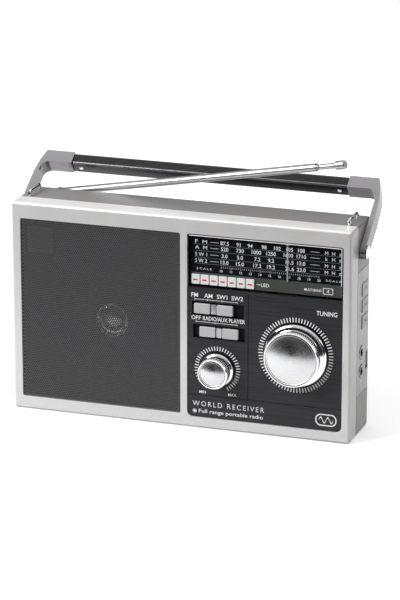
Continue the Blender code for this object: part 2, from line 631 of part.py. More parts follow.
def handle_arm(side):
    """An L of flat bar: the arm outside the cabinet, and the bar's end with its tenon."""
    outline = [(ARM_IN, -ARM_END_R), (ARM_OUT, -ARM_END_R), (ARM_OUT, 28), (136.2, 46), (134.5, 56)]
    outline += [(ARM_TOP_OUT, BAR_OUT_R), (GRIP_HALF_L + GAP, BAR_OUT_R), (GRIP_HALF_L + GAP, BAR_IN_R)]
    fillet_r = 7.0
    outline += arc((ARM_IN - fillet_r, BAR_IN_R - fillet_r), fillet_r, 90, 0, 6)
    points = [(side * x, r) for x, r in outline]
    name = "handle_arm_right" if side > 0 else "handle_arm_left"
    arm = add(name, slab(points, -ARM_HALF_DEPTH, ARM_HALF_DEPTH), "satin_arm")
    profile = arc((0, 0), ARM_HALF_DEPTH - 0.05, 180, 360, 12)
    profile += [(ARM_HALF_DEPTH + 0.05, BAR_OUT_R + 2), (-ARM_HALF_DEPTH - 0.05, BAR_OUT_R + 2)]
    ends = sorted((side * (GRIP_HALF_L - 20), side * (ARM_OUT + 5)))
    reshape(arm, "INTERSECT", slab(profile, *ends, plane="YZ"))
    tenon = sorted((side * (GRIP_HALF_L - 13), side * (GRIP_HALF_L + 3)))
    join(arm, box((tenon[0], -2.8, 56.4), (tenon[1], 2.8, 61.9)))
    cut(arm, rod("X", (0, 0, 0), SHAFT_R + GAP, *sorted((side * 128, side * 142))))
    cut(arm, rod("Z", (side * GRIP_SCREW_X, 0, 0), 1.5, 54, 63, 12))
    return arm


def handle():
    lean = empty("handle_pivot", (0, PIVOT_Y, PIVOT_Z), (-HANDLE_LEAN, 0, 0))
    pieces = [handle_arm(-1), handle_arm(1)]
    grip_low, grip_high = (-GRIP_HALF_L, -5.6, 54.5), (GRIP_HALF_L, 5.6, 64.2)
    along = lambda edge: abs(edge.verts[0].co.x - edge.verts[1].co.x) > 0.1
    grip = add("handle_grip", soft_box(grip_low, grip_high, 1.2, 2, along), "black_gloss")
    for side, name in ((-1, "left"), (1, "right")):
        pocket = sorted((side * (GRIP_HALF_L - 13.5), side * (GRIP_HALF_L + 2)))
        cut(grip, box((pocket[0], -3.1, 56.0), (pocket[1], 3.1, 62.3)))
        cut(grip, rod("Z", (side * GRIP_SCREW_X, 0, 0), 2.4, 52, 55.3, 16))
        cut(grip, rod("Z", (side * GRIP_SCREW_X, 0, 0), 1.5, 54, 57, 12))
        profile = [(0, 54.5), (1.2, 54.5), (2.1, 54.7), (2.1, 55.0), (1.2, 55.0), (1.2, 61.0), (0, 61.0)]
        pieces.append(add(f"grip_screw_{name}", lathe("Z", (side * GRIP_SCREW_X, 0, 0), profile, 12), "chrome"))
        ends = [(0, 123), (SHAFT_R, 123), (SHAFT_R, ARM_OUT + 0.3), (5.0, ARM_OUT + 0.3)]
        ends += [(5.0, ARM_OUT + 0.7), (3.6, ARM_OUT + 1.3), (0, ARM_OUT + 1.4)]
        mirrored = [(r, side * x) for r, x in ends]
        add(f"pivot_screw_{name}", lathe("X", (0, PIVOT_Y, PIVOT_Z), mirrored, 20), "chrome")
    hang_on(lean, grip, *pieces)


def strap_lugs():
    top, bend = LUG_TOP - LUG_R, 2.2
    for side, name in ((-1, "left"), (1, "right")):
        route = [(LUG_Y0, 158.0)]
        route += arc((LUG_Y0 + bend, top - bend), bend, 180, 90, 4)
        route += arc((LUG_Y1 - bend, top - bend), bend, 90, 0, 4)
        route += [(LUG_Y1, 158.0)]
        add_tube(f"strap_lug_{name}", [(side * LUG_X, y, z) for y, z in route], LUG_R, "chrome", 2)


# Telescopic antenna


def antenna():
    x, y, z = ANTENNA_BASE
    bracket = add("antenna_bracket", box((x - 7, BACK_Y + GAP, 136), (x + 7, BACK_Y + 2.3, 152)), "chrome")
    join(bracket, box((x - 5, BACK_Y + 1, 140), (x + 5, y + 6, 143)))
    cut(bracket, rod("Z", (x, y, 0), 2.8, 138, 145))
    swivel_axis = empty("antenna_swivel_axis", ANTENNA_BASE, (0, 0, ANTENNA_YAW))
    tilt_axis = empty("antenna_tilt_axis", (0, 0, 0), (0, -ANTENNA_RISE, 0), swivel_axis)
    shelf = 143 - z
    post = [(0, shelf - 6), (2.5, shelf - 6), (2.5, shelf + 0.3), (4.4, shelf + 0.3), (4.4, shelf + 3.2), (0, shelf + 3.2)]
    fork = add("antenna_swivel", lathe("Z", (0, 0, 0), post, 20), "chrome")
    for side in (-1, 1):
        cheek = sorted((side * 1.7, side * 3.4))
        profile = [(-3.4, shelf + 2.5), (3.4, shelf + 2.5), *arc((0, 0), 3.4, 0, 180, 8)]
        join(fork, slab(profile, *cheek))
    join(fork, rod("Y", (0, 0, 0), 1.4, -2.5, 2.5, 16))
    hang_on(swivel_axis, fork)
    tongue = [*arc((0, 0), 3.0, 90, 270, 8), (9, -2.6), (9, 2.6)]
    outer_r, bore_r = TUBE_RADII["outer"]
    outer = add("antenna_outer_tube", slab(tongue, -1.4, 1.4), "chrome")
    start = 7.5
    tube = [(0, start), (outer_r, start), (outer_r, TUBE_END), (bore_r, TUBE_END), (bore_r, start + 3), (0, start + 3)]
    join(outer, lathe("X", (0, 0, 0), tube, 20))
    cut(outer, rod("Y", (0, 0, 0), 1.8, -4, 4, 16))
    pieces = [outer]
    for step, name in enumerate(("middle", "inner"), 1):
        outer_r, bore_r = TUBE_RADII[name]
        first, last = start + 3 + 2 * step, TUBE_END + step
        tube = [(0, first), (outer_r, first), (outer_r, last), (bore_r, last), (bore_r, first + 1.5), (0, first + 1.5)]
        pieces.append(add(f"antenna_{name}_tube", lathe("X", (0, 0, 0), tube, 20), "chrome"))
    tip = ANTENNA_END - 8.5
    profile = [(0, start + 10), (ROD_R, start + 10), (ROD_R, tip), (2.6, tip), (TIP_R, tip + 1)]
    profile += [(TIP_R, ANTENNA_END - 1), (TIP_R - 0.8, ANTENNA_END), (0, ANTENNA_END)]
    pieces.append(add("antenna_rod", lathe("X", (0, 0, 0), profile, 20), "chrome"))
    hang_on(tilt_axis, *pieces)


clear_scene()
MATERIALS = {name: make_material(name) for name in COLOURS}
front_cabinet()
rear_cabinet()
side_panel()
battery_door()
case_screws()
loudspeaker()
control_fascia()
dial()
dial_drive()
knobs()
slide_switches()
push_buttons()
sockets()
inner_works()
handle()
strap_lugs()
antenna()
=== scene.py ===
"""Looks for a portable shortwave receiver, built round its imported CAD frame.

Camera, lights, floor and card are in metres. The object is in millimetres, which piece() converts.
"""

import json
import math

import bpy
import numpy as np
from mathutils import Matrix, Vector

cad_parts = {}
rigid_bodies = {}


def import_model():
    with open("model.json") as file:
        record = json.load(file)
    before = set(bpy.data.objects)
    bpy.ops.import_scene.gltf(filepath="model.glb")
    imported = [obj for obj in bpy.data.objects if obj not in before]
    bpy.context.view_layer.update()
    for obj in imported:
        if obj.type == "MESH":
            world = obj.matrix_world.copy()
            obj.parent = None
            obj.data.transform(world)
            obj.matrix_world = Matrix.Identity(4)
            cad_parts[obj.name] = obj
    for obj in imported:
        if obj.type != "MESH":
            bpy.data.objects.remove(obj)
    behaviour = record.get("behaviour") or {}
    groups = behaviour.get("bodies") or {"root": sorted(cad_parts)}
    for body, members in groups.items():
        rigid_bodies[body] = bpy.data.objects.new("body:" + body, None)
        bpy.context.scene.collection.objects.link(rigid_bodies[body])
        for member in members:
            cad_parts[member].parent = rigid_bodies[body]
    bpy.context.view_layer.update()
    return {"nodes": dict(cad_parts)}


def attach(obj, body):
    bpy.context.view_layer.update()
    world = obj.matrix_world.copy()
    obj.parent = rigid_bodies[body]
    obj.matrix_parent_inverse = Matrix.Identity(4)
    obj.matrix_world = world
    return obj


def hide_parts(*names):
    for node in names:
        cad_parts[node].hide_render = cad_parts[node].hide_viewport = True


MM = 0.001

for leftover in list(bpy.data.objects):
    bpy.data.objects.remove(leftover)

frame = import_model()
NODES = frame["nodes"]


# ---------------------------------------------------------------- camera and light

TARGET = Vector((0.0168, -0.0245, 0.0999))
AZIMUTH = math.radians(18.86)
ELEVATION = math.radians(17.08)
DISTANCE = 2.282
SENSOR_MM, LENS_MM = 36.0, 185.8


def point_at(thing, target):
    """Turns a camera or light to look at a place."""
    thing.rotation_euler = (Vector(target) - thing.location).to_track_quat("-Z", "Y").to_euler()


camera_data = bpy.data.cameras.new("camera")
camera_data.lens = LENS_MM
camera_data.sensor_width = SENSOR_MM
camera_data.clip_start = 0.05
camera_data.clip_end = 60.0
camera = bpy.data.objects.new("camera", camera_data)
camera.location = TARGET + DISTANCE * Vector(
    (
        math.sin(AZIMUTH) * math.cos(ELEVATION),
        -math.cos(AZIMUTH) * math.cos(ELEVATION),
        math.sin(ELEVATION),
    )
)
point_at(camera, TARGET)
bpy.context.scene.collection.objects.link(camera)
bpy.context.scene.camera = camera
bpy.context.scene.view_settings.view_transform = "Standard"


def area_light(name, place, target, size, power):
    """A soft square light that the camera doesn't see."""
    data = bpy.data.lights.new(name, "AREA")
    data.shape = "SQUARE"
    data.size = size
    data.energy = power
    lamp = bpy.data.objects.new(name, data)
    lamp.location = place
    point_at(lamp, target)
    lamp.visible_camera = False
    bpy.context.scene.collection.objects.link(lamp)


area_light("key_light", (-1.0, -0.87, 1.0), (0, 0, 0.1), 0.8, 24.0)
area_light("right_wash", (2.4, -0.9, 1.0), (0, 0, 0.08), 1.0, 3.2)
area_light("top_light", (0.2, 0.6, 2.6), (0, 0, 0.1), 1.6, 6.0)

# The sky runs from dark below the horizon, through these ramp stops (position, grey), to white overhead.
SKY_STOPS = ((0.30, 0.06), (0.42, 0.45), (0.60, 0.85))
SKY_STRENGTH = 0.85

world = bpy.data.worlds.new("studio")
world.use_nodes = True
bpy.context.scene.world = world
wn, wl = world.node_tree.nodes, world.node_tree.links
sky_place = wn.new("ShaderNodeTexCoord")
sky_split = wn.new("ShaderNodeSeparateXYZ")
sky_ramp = wn.new("ShaderNodeValToRGB")
wl.new(sky_place.outputs["Generated"], sky_split.inputs[0])
wl.new(sky_split.outputs["Z"], sky_ramp.inputs["Fac"])
wl.new(sky_ramp.outputs["Color"], wn["Background"].inputs["Color"])
ramp = sky_ramp.color_ramp
ramp.elements[0].color = (0.035, 0.035, 0.038, 1)
for height, shade in SKY_STOPS:
    stop = ramp.elements.new(height)
    stop.color = (shade, shade, shade, 1)
wn["Background"].inputs["Strength"].default_value = SKY_STRENGTH


# ---------------------------------------------------------------- materials


class Finish:
    """A Principled material with the node chains that these finishes share.

    Scales are features to the metre, one number or one for each axis, and bump distances are metres.
    """

    def __init__(self, name, base, rough, metal=0.0, **sockets):
        self.material = bpy.data.materials.new(name)
        self.material.use_nodes = True
        self.nodes = self.material.node_tree.nodes
        self.links = self.material.node_tree.links
        self.shader = self.nodes["Principled BSDF"]
        self.base = base
        self.set("Base Color", (*base, 1.0))
        self.set("Roughness", rough)
        self.set("Metallic", metal)
        for socket, value in sockets.items():
            self.set(socket.replace("_", " "), value)
        self.place = self.nodes.new("ShaderNodeTexCoord").outputs["Object"]
        self.normal = None
        self.material.diffuse_color = (*base, 1.0)

    def set(self, socket, value):
        self.shader.inputs[socket].default_value = value

    def mapped(self, scale):
        mapping = self.nodes.new("ShaderNodeMapping")
        mapping.inputs["Scale"].default_value = scale if isinstance(scale, tuple) else (scale,) * 3
        self.links.new(self.place, mapping.inputs["Vector"])
        return mapping.outputs["Vector"]

    def noise(self, scale, detail=3.0):
        texture = self.nodes.new("ShaderNodeTexNoise")
        texture.inputs["Scale"].default_value = 1.0
        texture.inputs["Detail"].default_value = detail
        texture.inputs["Roughness"].default_value = 0.55
        self.links.new(self.mapped(scale), texture.inputs["Vector"])
        return texture.outputs["Fac"]

    def spread(self, source, low, high):
        """Noise, which keeps near its middle, stretched between two values."""
        node = self.nodes.new("ShaderNodeMapRange")
        node.inputs["From Min"].default_value = 0.3
        node.inputs["From Max"].default_value = 0.7
        node.inputs["To Min"].default_value = low
        node.inputs["To Max"].default_value = high
        self.links.new(source, node.inputs["Value"])
        return node.outputs["Result"]

    def mottle(self, scale, amount, detail=3.0):
        """Colour that varies by a share of itself."""
        mix = self.nodes.new("ShaderNodeMix")
        mix.data_type = "RGBA"
        mix.inputs["A"].default_value = (*[c * (1 - amount) for c in self.base], 1)
        mix.inputs["B"].default_value = (*[min(1.0, c * (1 + amount)) for c in self.base], 1)
        self.links.new(self.spread(self.noise(scale, detail), 0, 1), mix.inputs["Factor"])
        self.links.new(mix.outputs["Result"], self.shader.inputs["Base Color"])
        return self

    def polish(self, scale, low, high):
        """Roughness that varies between two values."""
        self.links.new(self.spread(self.noise(scale), low, high), self.shader.inputs["Roughness"])
        return self

    def bump(self, source, distance, strength=1.0):
        node = self.nodes.new("ShaderNodeBump")
        node.inputs["Distance"].default_value = distance
        node.inputs["Strength"].default_value = strength
        self.links.new(source, node.inputs["Height"])
        if self.normal:
            self.links.new(self.normal, node.inputs["Normal"])
        self.normal = node.outputs["Normal"]
        self.links.new(self.normal, self.shader.inputs["Normal"])
        return self

    def grain(self, scale, distance, strength=1.0):
        return self.bump(self.noise(scale), distance, strength)

    def glow(self, colour, strength):
        """Painted light: a faint emission on a surface that is no lamp, which keeps small printing and pale
        tiles bright and crisp. On the floor it keeps the floor evenly bright.
        """
        self.set("Emission Color", (*colour, 1.0))
        self.set("Emission Strength", strength)
        return self


# Painted light in part: the front shell's paint has a far lighter base than the rear shell's, which stands in
# for the strong light on the front face as well as a lighter paint.
front_silver = Finish("front_silver", (0.83, 0.82, 0.815), 0.36, 0.22)
front_silver.mottle(1800.0, 0.07).polish(90.0, 0.29, 0.39).grain(2600.0, 0.00003, 0.5)
silver_paint = Finish("silver_paint", (0.33, 0.32, 0.318), 0.42, 0.5)
silver_paint.mottle(1500.0, 0.10).polish(60.0, 0.41, 0.46).grain(1900.0, 0.00006, 0.7)
door_paint = Finish("door_paint", (0.37, 0.36, 0.355), 0.45, 0.45)
door_paint.mottle(1500.0, 0.10).polish(60.0, 0.43, 0.48).grain(1900.0, 0.00006, 0.7)
side_silver = Finish("side_silver", (0.43, 0.42, 0.42), 0.36, 0.45)
side_silver.mottle(1700.0, 0.08).polish(80.0, 0.30, 0.40).grain(2400.0, 0.00003, 0.5)
fascia = Finish("black_fascia", (0.026, 0.026, 0.029), 0.44, 0.2, Specular_IOR_Level=0.35)
fascia.mottle((25.0, 200.0, 2600.0), 0.55, 4.0).polish((20.0, 100.0, 1800.0), 0.34, 0.52)
fascia.grain((18.0, 200.0, 2400.0), 0.00006, 0.8)
grille_metal = Finish("grille_metal", (0.105, 0.104, 0.107), 0.50, 0.2, Specular_IOR_Level=0.35)
grille_metal.mottle(700.0, 0.12).polish(200.0, 0.40, 0.54).grain(3000.0, 0.00002, 0.4)
grille_cloth = Finish("grille_cloth", (0.022, 0.022, 0.024), 0.92)
grille_cloth.mottle(900.0, 0.35).grain(2600.0, 0.00010)
chrome = Finish("chrome", (0.80, 0.80, 0.82), 0.09, 1.0)
chrome.mottle(160.0, 0.02).polish(220.0, 0.06, 0.12).grain(1500.0, 0.000004, 0.3)
tube_chrome = Finish("tube_chrome", (0.42, 0.415, 0.43), 0.34, 1.0)
tube_chrome.mottle((40.0, 900.0, 900.0), 0.03).polish((60.0, 600.0, 600.0), 0.30, 0.38)
satin_arm = Finish("satin_arm", (0.29, 0.28, 0.295), 0.42, 0.6)
satin_arm.mottle(1400.0, 0.06).polish(120.0, 0.34, 0.46).grain(2200.0, 0.00003, 0.5)
# painted shade in part: polished chrome with a darkened base, standing in for dark reflections on the arms'
# other faces; the jack rings wear it too
shade_darkened_chrome = Finish("shade_darkened_chrome", (0.20, 0.19, 0.205), 0.12, 1.0)
shade_darkened_chrome.mottle((90.0, 400.0, 400.0), 0.12).polish(160.0, 0.10, 0.20).grain(1500.0, 0.000004, 0.3)
# painted shade: a darker, duller black for the inside of the slider slots
slot_painted_shade = Finish("slot_painted_shade", (0.007, 0.007, 0.008), 0.6, 0.0, Specular_IOR_Level=0.12)
slot_painted_shade.mottle(700.0, 0.2).grain(2200.0, 0.00003, 0.4)
black_gloss = Finish("black_gloss", (0.012, 0.012, 0.013), 0.16, 0.0, Coat_Weight=0.5)
black_gloss.mottle(300.0, 0.3).polish(140.0, 0.12, 0.22).grain(900.0, 0.00001, 0.3)
black_matte = Finish("black_matte", (0.018, 0.018, 0.019), 0.55)
black_matte.mottle(800.0, 0.25).polish(200.0, 0.48, 0.62).grain(2400.0, 0.00005, 0.6)
white_plastic = Finish("white_plastic", (0.66, 0.66, 0.68), 0.28, 0.0)
white_plastic.mottle(500.0, 0.03).polish(150.0, 0.24, 0.34).grain(1800.0, 0.00001, 0.3)
steel = Finish("steel", (0.52, 0.53, 0.55), 0.30, 1.0)
steel.mottle(260.0, 0.10).polish(300.0, 0.22, 0.40).grain(1200.0, 0.00003, 0.4)
paper = Finish("paper_cone", (0.020, 0.020, 0.022), 0.70)
paper.mottle(500.0, 0.3).grain(1600.0, 0.00008)
board = Finish("circuit_board", (0.02, 0.16, 0.06), 0.30)
board.mottle(240.0, 0.35).polish(300.0, 0.22, 0.45).grain(700.0, 0.00006, 0.6)
grey_plastic = Finish("grey_plastic", (0.26, 0.26, 0.27), 0.42)
grey_plastic.mottle(600.0, 0.08).polish(200.0, 0.36, 0.50).grain(2200.0, 0.00004, 0.5)
dial_plate = Finish("dial_plate", (0.011, 0.011, 0.014), 0.4, 0.0, Specular_IOR_Level=0.12)
dial_plate.mottle(300.0, 0.2).polish(120.0, 0.28, 0.38).grain(2200.0, 0.00001, 0.3)
olive_print = Finish("olive_print", (0.125, 0.125, 0.108), 0.5, 0.0, Specular_IOR_Level=0.2)
olive_print.mottle(500.0, 0.08).grain(2200.0, 0.00001, 0.3)
# painted light: the white printing glows faintly
white_print = Finish("white_print", (0.82, 0.82, 0.82), 0.5).glow((1, 1, 1), 0.22)
white_print.mottle(900.0, 0.06).grain(2600.0, 0.00001, 0.3)
# painted light: the dial printing, its legend and the window's edge lines glow
dial_print = Finish("dial_print", (0.85, 0.85, 0.84), 0.5).glow((1, 1, 1), 0.35)
dial_print.mottle(900.0, 0.06).grain(2600.0, 0.00001, 0.3)
dim_print = Finish("dim_print", (0.34, 0.36, 0.40), 0.5)
dim_print.mottle(900.0, 0.06).grain(2600.0, 0.00001, 0.3)
dark_print = Finish("dark_print", (0.03, 0.03, 0.032), 0.5)
dark_print.mottle(900.0, 0.1).grain(2600.0, 0.00001, 0.3)
# painted light: the red bars on the lamp tiles glow faintly
red_print = Finish("red_print", (0.80, 0.07, 0.015), 0.4).glow((1, 0.1, 0.02), 0.25)
red_print.mottle(600.0, 0.12).grain(2400.0, 0.00001, 0.3)
# painted light: the pale lamp tiles glow faintly so they stay bright
led_tile = Finish("led_tile", (0.86, 0.86, 0.84), 0.30).glow((1, 0.98, 0.95), 0.34)
led_tile.mottle(700.0, 0.03).grain(2400.0, 0.00001, 0.3)
pointer_paint = Finish("pointer_paint", (0.80, 0.76, 0.70), 0.4)
pointer_paint.mottle(600.0, 0.05).grain(2000.0, 0.00001, 0.3)
cord_fibre = Finish("cord_fibre", (0.70, 0.66, 0.56), 0.85)
cord_fibre.mottle(2500.0, 0.2).grain(4200.0, 0.0001)
ferrite = Finish("ferrite", (0.030, 0.030, 0.031), 0.6)
ferrite.mottle(600.0, 0.3).grain(1500.0, 0.0001)
dust_cap = Finish("dust_cap", (0.88, 0.88, 0.90), 0.10, 0.9)
dust_cap.mottle(400.0, 0.1).polish(200.0, 0.08, 0.14).grain(900.0, 0.00002, 0.3)


SPUN_ROUGH = 0.22
TURNING_MARKS = 3200.0  # to the metre, out from the middle
CROWN_SLOPE = 0.36  # slope of the polished crown at the cap's edge
TUNING_CAP_RADIUS, VOLUME_CAP_RADIUS = 19.6, 10.1


def spun_metal(name, cap_radius):
    """Metal turned about the object's own Y axis: fine rings, a radial sheen and a slight crown."""
    made = Finish(name, (0.60, 0.60, 0.61), SPUN_ROUGH, 1.0, Anisotropic=0.6)
    split = made.nodes.new("ShaderNodeSeparateXYZ")
    made.links.new(made.place, split.inputs[0])
    flat = made.nodes.new("ShaderNodeCombineXYZ")
    made.links.new(split.outputs["X"], flat.inputs["X"])
    made.links.new(split.outputs["Z"], flat.inputs["Z"])
    radius = made.nodes.new("ShaderNodeVectorMath")
    radius.operation = "LENGTH"
    made.links.new(flat.outputs[0], radius.inputs[0])
    rings = made.nodes.new("ShaderNodeTexNoise")
    rings.noise_dimensions = "1D"
    rings.inputs["Scale"].default_value = TURNING_MARKS
    rings.inputs["Detail"].default_value = 3.0
    made.links.new(radius.outputs["Value"], rings.inputs["W"])
    rough = made.spread(rings.outputs["Fac"], SPUN_ROUGH - 0.05, SPUN_ROUGH + 0.08)
    made.links.new(rough, made.shader.inputs["Roughness"])
    made.bump(rings.outputs["Fac"], 0.00001, 0.5)
    squared = made.nodes.new("ShaderNodeMath")
    squared.operation = "MULTIPLY"
    made.links.new(radius.outputs["Value"], squared.inputs[0])
    made.links.new(radius.outputs["Value"], squared.inputs[1])
    crown = made.nodes.new("ShaderNodeMath")
    crown.operation = "MULTIPLY"
    crown.inputs[1].default_value = -CROWN_SLOPE / 2 / (cap_radius * MM)
    made.links.new(squared.outputs[0], crown.inputs[0])
    made.bump(crown.outputs[0], 1.0)
    tangent = made.nodes.new("ShaderNodeTangent")
    tangent.direction_type = "RADIAL"
    tangent.axis = "Y"
    made.links.new(tangent.outputs[0], made.shader.inputs["Tangent"])
    return made


spun_tuning = spun_metal("spun_tuning_cap", TUNING_CAP_RADIUS)
spun_volume = spun_metal("spun_volume_cap", VOLUME_CAP_RADIUS)

FACE_ON_SHINE, EDGE_ON_SHINE = 0.010, 0.45  # a mirror's share, seen square and at a glance


def clear_sheet(name, tint, gloss):
    """Clear plastic that mirrors a little more at a glancing angle."""
    material = bpy.data.materials.new(name)
    material.use_nodes = True
    nodes, links = material.node_tree.nodes, material.node_tree.links
    nodes.remove(nodes["Principled BSDF"])
    through = nodes.new("ShaderNodeBsdfTransparent")
    through.inputs["Color"].default_value = (*tint, 1)
    shine = nodes.new("ShaderNodeBsdfGlossy")
    shine.inputs["Color"].default_value = (1, 1, 1, 1)
    shine.inputs["Roughness"].default_value = gloss
    glance = nodes.new("ShaderNodeLayerWeight")  # its Facing output is one less the cosine of the angle
    glance.inputs["Blend"].default_value = 0.5
    steep = nodes.new("ShaderNodeMath")
    steep.operation = "POWER"
    steep.inputs[1].default_value = 3.0
    share = nodes.new("ShaderNodeMath")
    share.operation = "MULTIPLY_ADD"
    share.inputs[1].default_value = EDGE_ON_SHINE
    share.inputs[2].default_value = FACE_ON_SHINE
    links.new(glance.outputs["Facing"], steep.inputs[0])
    links.new(steep.outputs[0], share.inputs[0])
    scratches = nodes.new("ShaderNodeTexNoise")
    scratches.inputs["Scale"].default_value = 60.0
    ripple = nodes.new("ShaderNodeBump")
    ripple.inputs["Strength"].default_value = 0.05
    ripple.inputs["Distance"].default_value = 0.0002
    links.new(scratches.outputs["Fac"], ripple.inputs["Height"])
    links.new(ripple.outputs["Normal"], shine.inputs["Normal"])
    mix = nodes.new("ShaderNodeMixShader")
    links.new(share.outputs[0], mix.inputs["Fac"])
    links.new(through.outputs[0], mix.inputs[1])
    links.new(shine.outputs[0], mix.inputs[2])
    links.new(mix.outputs[0], nodes["Material Output"].inputs["Surface"])
    return material


clear_window = clear_sheet("clear_window", (0.93, 0.94, 0.95), 0.03)

floor_finish = Finish("floor_finish", (0.90, 0.90, 0.90), 0.65).glow((1, 1, 1), 0.40)
floor_finish.mottle(3.0, 0.01)


# ---------------------------------------------------------------- mesh helpers


def wear(mesh, finish):
    """Fills a mesh's material slots from a finish, a material or a list of them."""
    for entry in finish if isinstance(finish, list) else [finish]:
        mesh.materials.append(entry if isinstance(entry, bpy.types.Material) else entry.material)


def smooth_faces(mesh):
    mesh.polygons.foreach_set("use_smooth", [True] * len(mesh.polygons))


def piece(name, points, faces, finish, body, slot, smooth=False, origin=(0, 0, 0), indices=None):
    """A mesh piece from points in millimetres. It rides on a body and wears the given finish; slot is not used.
    """
    mesh = bpy.data.meshes.new(name)
    centre = np.array(origin, float)
    scaled = (np.asarray(points, float) - centre) * MM
    mesh.from_pydata(scaled.tolist(), [], faces if isinstance(faces, list) else faces.tolist())
    mesh.update()
    mesh.validate()
    wear(mesh, finish)
    if indices is not None:
        mesh.polygons.foreach_set("material_index", indices)
    if smooth:
        smooth_faces(mesh)
    made = bpy.data.objects.new(name, mesh)
    made.location = centre * MM
    bpy.context.scene.collection.objects.link(made)
    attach(made, body)
    return made


def soften(made, width, segments=2, angle=35.0, weight=50):
    """Rounds the edges that are sharper than an angle."""
    rounding = made.modifiers.new("rounding", "BEVEL")
    rounding.width = width * MM
    rounding.segments = segments
    rounding.limit_method = "ANGLE"
    rounding.angle_limit = math.radians(angle)
    smooth_faces(made.data)
    weighted = made.modifiers.new("even_shading", "WEIGHTED_NORMAL")
    weighted.keep_sharp = False
    weighted.weight = weight
    return made


def crease(made, angle):
    """Shades edges as sharp where faces meet at more than an angle."""
    creases = made.modifiers.new("creases", "EDGE_SPLIT")
    creases.split_angle = math.radians(angle)


class Heap:
    """Closed shapes gathered into one mesh."""

    def __init__(self):
        self.points, self.faces, self.indices = [], [], []

    def add(self, points, faces, index=0):
        start = len(self.points)
        self.points.extend([tuple(p) for p in points])
        self.faces.extend([tuple(start + i for i in f) for f in faces])
        self.indices.extend([index] * len(faces))

    def prism(self, outline, y0, y1, index=0):
        """An outline of (x, z) points, drawn through y."""
        n = len(outline)
        points = [(x, y0, z) for x, z in outline] + [(x, y1, z) for x, z in outline]
        faces = [tuple(range(n)), tuple(range(2 * n - 1, n - 1, -1))]
        faces += [(i, i + n, (i + 1) % n + n, (i + 1) % n) for i in range(n)]
        self.add(points, faces, index)

    def block(self, low, high, index=0):
        outline = [(low[0], low[2]), (high[0], low[2]), (high[0], high[2]), (low[0], high[2])]
        self.prism(outline, low[1], high[1], index)

    def build(self, name, finish, body, slot, **more):
        return piece(name, self.points, self.faces, finish, body, slot, indices=self.indices, **more)


def lathe(profile, steps, centre):
    """Turns (radius, y) points about a Y axis through centre (x, z). A radius of 0 closes an end."""
    points, rows = [], []
    for radius, y in profile:
        if radius == 0:
            rows.append([len(points)] * steps)
            points.append((centre[0], y, centre[1]))
            continue
        rows.append(list(range(len(points), len(points) + steps)))
        for i in range(steps):
            a = 2 * math.pi * i / steps
            points.append((centre[0] + radius * math.cos(a), y, centre[1] + radius * math.sin(a)))
    faces = []
    for low, high in zip(rows, rows[1:]):
        for i in range(steps):
            j = (i + 1) % steps
            face = []
            for corner in (low[i], low[j], high[j], high[i]):
                if corner not in face:
                    face.append(corner)
            if len(face) > 2:
                faces.append(tuple(face))
    return points, faces


def ring_plate(heap, outer, inner, y0, y1):
    """A flat ring between two outlines of the same count of (x, z) points."""
    n = len(outer)
    points = []
    for outline, y in ((outer, y0), (inner, y0), (inner, y1), (outer, y1)):
        points += [(x, y, z) for x, z in outline]
    faces = []
    for level in range(4):
        a, b = level * n, ((level + 1) % 4) * n
        faces += [(a + i, a + (i + 1) % n, b + (i + 1) % n, b + i) for i in range(n)]
    heap.add(points, faces)


CAPITAL_SHARE = 0.72  # a capital's height as a share of the type size


class Print:
    """Raised printing on a face that looks along -Y: letters, bars and ticks in one mesh per colour."""

    def __init__(self, y, rise=0.06):
        self.y, self.rise, self.heap, self.step = y, rise, Heap(), 0

    def text(self, words, x, z, height, align="LEFT", width=None, bold=0.05, gap=1.0):
        """Words with their foot at z and capitals that height. Width squeezes or stretches them."""
        curve = bpy.data.curves.new("lettering", "FONT")
        curve.body = words
        curve.size = height / CAPITAL_SHARE
        curve.resolution_u = 3
        curve.extrude = self.rise / 2
        curve.offset = bold
        curve.space_character = gap
        holder = bpy.data.objects.new("lettering", curve)
        bpy.context.scene.collection.objects.link(holder)
        bpy.context.view_layer.update()
        shape = holder.evaluated_get(bpy.context.evaluated_depsgraph_get()).to_mesh()
        co = np.array([v.co for v in shape.vertices], float).reshape(-1, 3)
        faces = [tuple(p.vertices) for p in shape.polygons]
        left, right = co[:, 0].min(), co[:, 0].max()
        stretch = width / (right - left) if width else 1.0
        span = (right - left) * stretch
        start = x - span / 2 if align == "CENTER" else x
        points = np.stack(
            [start + (co[:, 0] - left) * stretch, self.y - self.rise / 2 - co[:, 2], z + co[:, 1]], axis=1
        )
        self.heap.add(points.tolist(), faces)
        bpy.data.objects.remove(holder)

    def bar(self, x0, z0, x1, z1):
        self.heap.block((x0, self.y - self.rise, z0), (x1, self.y, z1))

    def line(self, ends, width):
        """A bar between points (x, z), one after another, each at its own height so that none coincide."""
        for (xa, za), (xb, zb) in zip(ends, ends[1:]):
            if math.hypot(xb - xa, zb - za) < 1e-6:
                continue
            self.step = (self.step + 1) % 16
            front = self.y - self.rise - 0.001 * self.step
            along = Vector((xb - xa, zb - za)).normalized()
            side = Vector((-along.y, along.x)) * width / 2
            along = along * width / 2
            self.heap.prism(
                [
                    (xa - along.x + side.x, za - along.y + side.y),
                    (xa - along.x - side.x, za - along.y - side.y),
                    (xb + along.x - side.x, zb + along.y - side.y),
                    (xb + along.x + side.x, zb + along.y + side.y),
                ],
                front,
                self.y,
            )

    def hoop(self, outer, inner):
        """A flat ring between two outlines."""
        ring_plate(self.heap, outer, inner, self.y - self.rise, self.y)

    def ticks(self, centre, outer, length, count, width, gap=0.0):
        """A ring of ticks. Gap is half the angle left out at the bottom, in degrees."""
        for i in range(count):
            a = 2 * math.pi * i / count
            below = math.degrees(math.acos(max(-1.0, min(1.0, -math.cos(a)))))
            if gap and below < gap:
                continue
            tip = (centre[0] + outer * math.sin(a), centre[1] + outer * math.cos(a))
            root = (centre[0] + (outer - length) * math.sin(a), centre[1] + (outer - length) * math.cos(a))
            self.line([root, tip], width)

    def build(self, name, finish, body, slot):
        return self.heap.build(name, finish, body, slot)


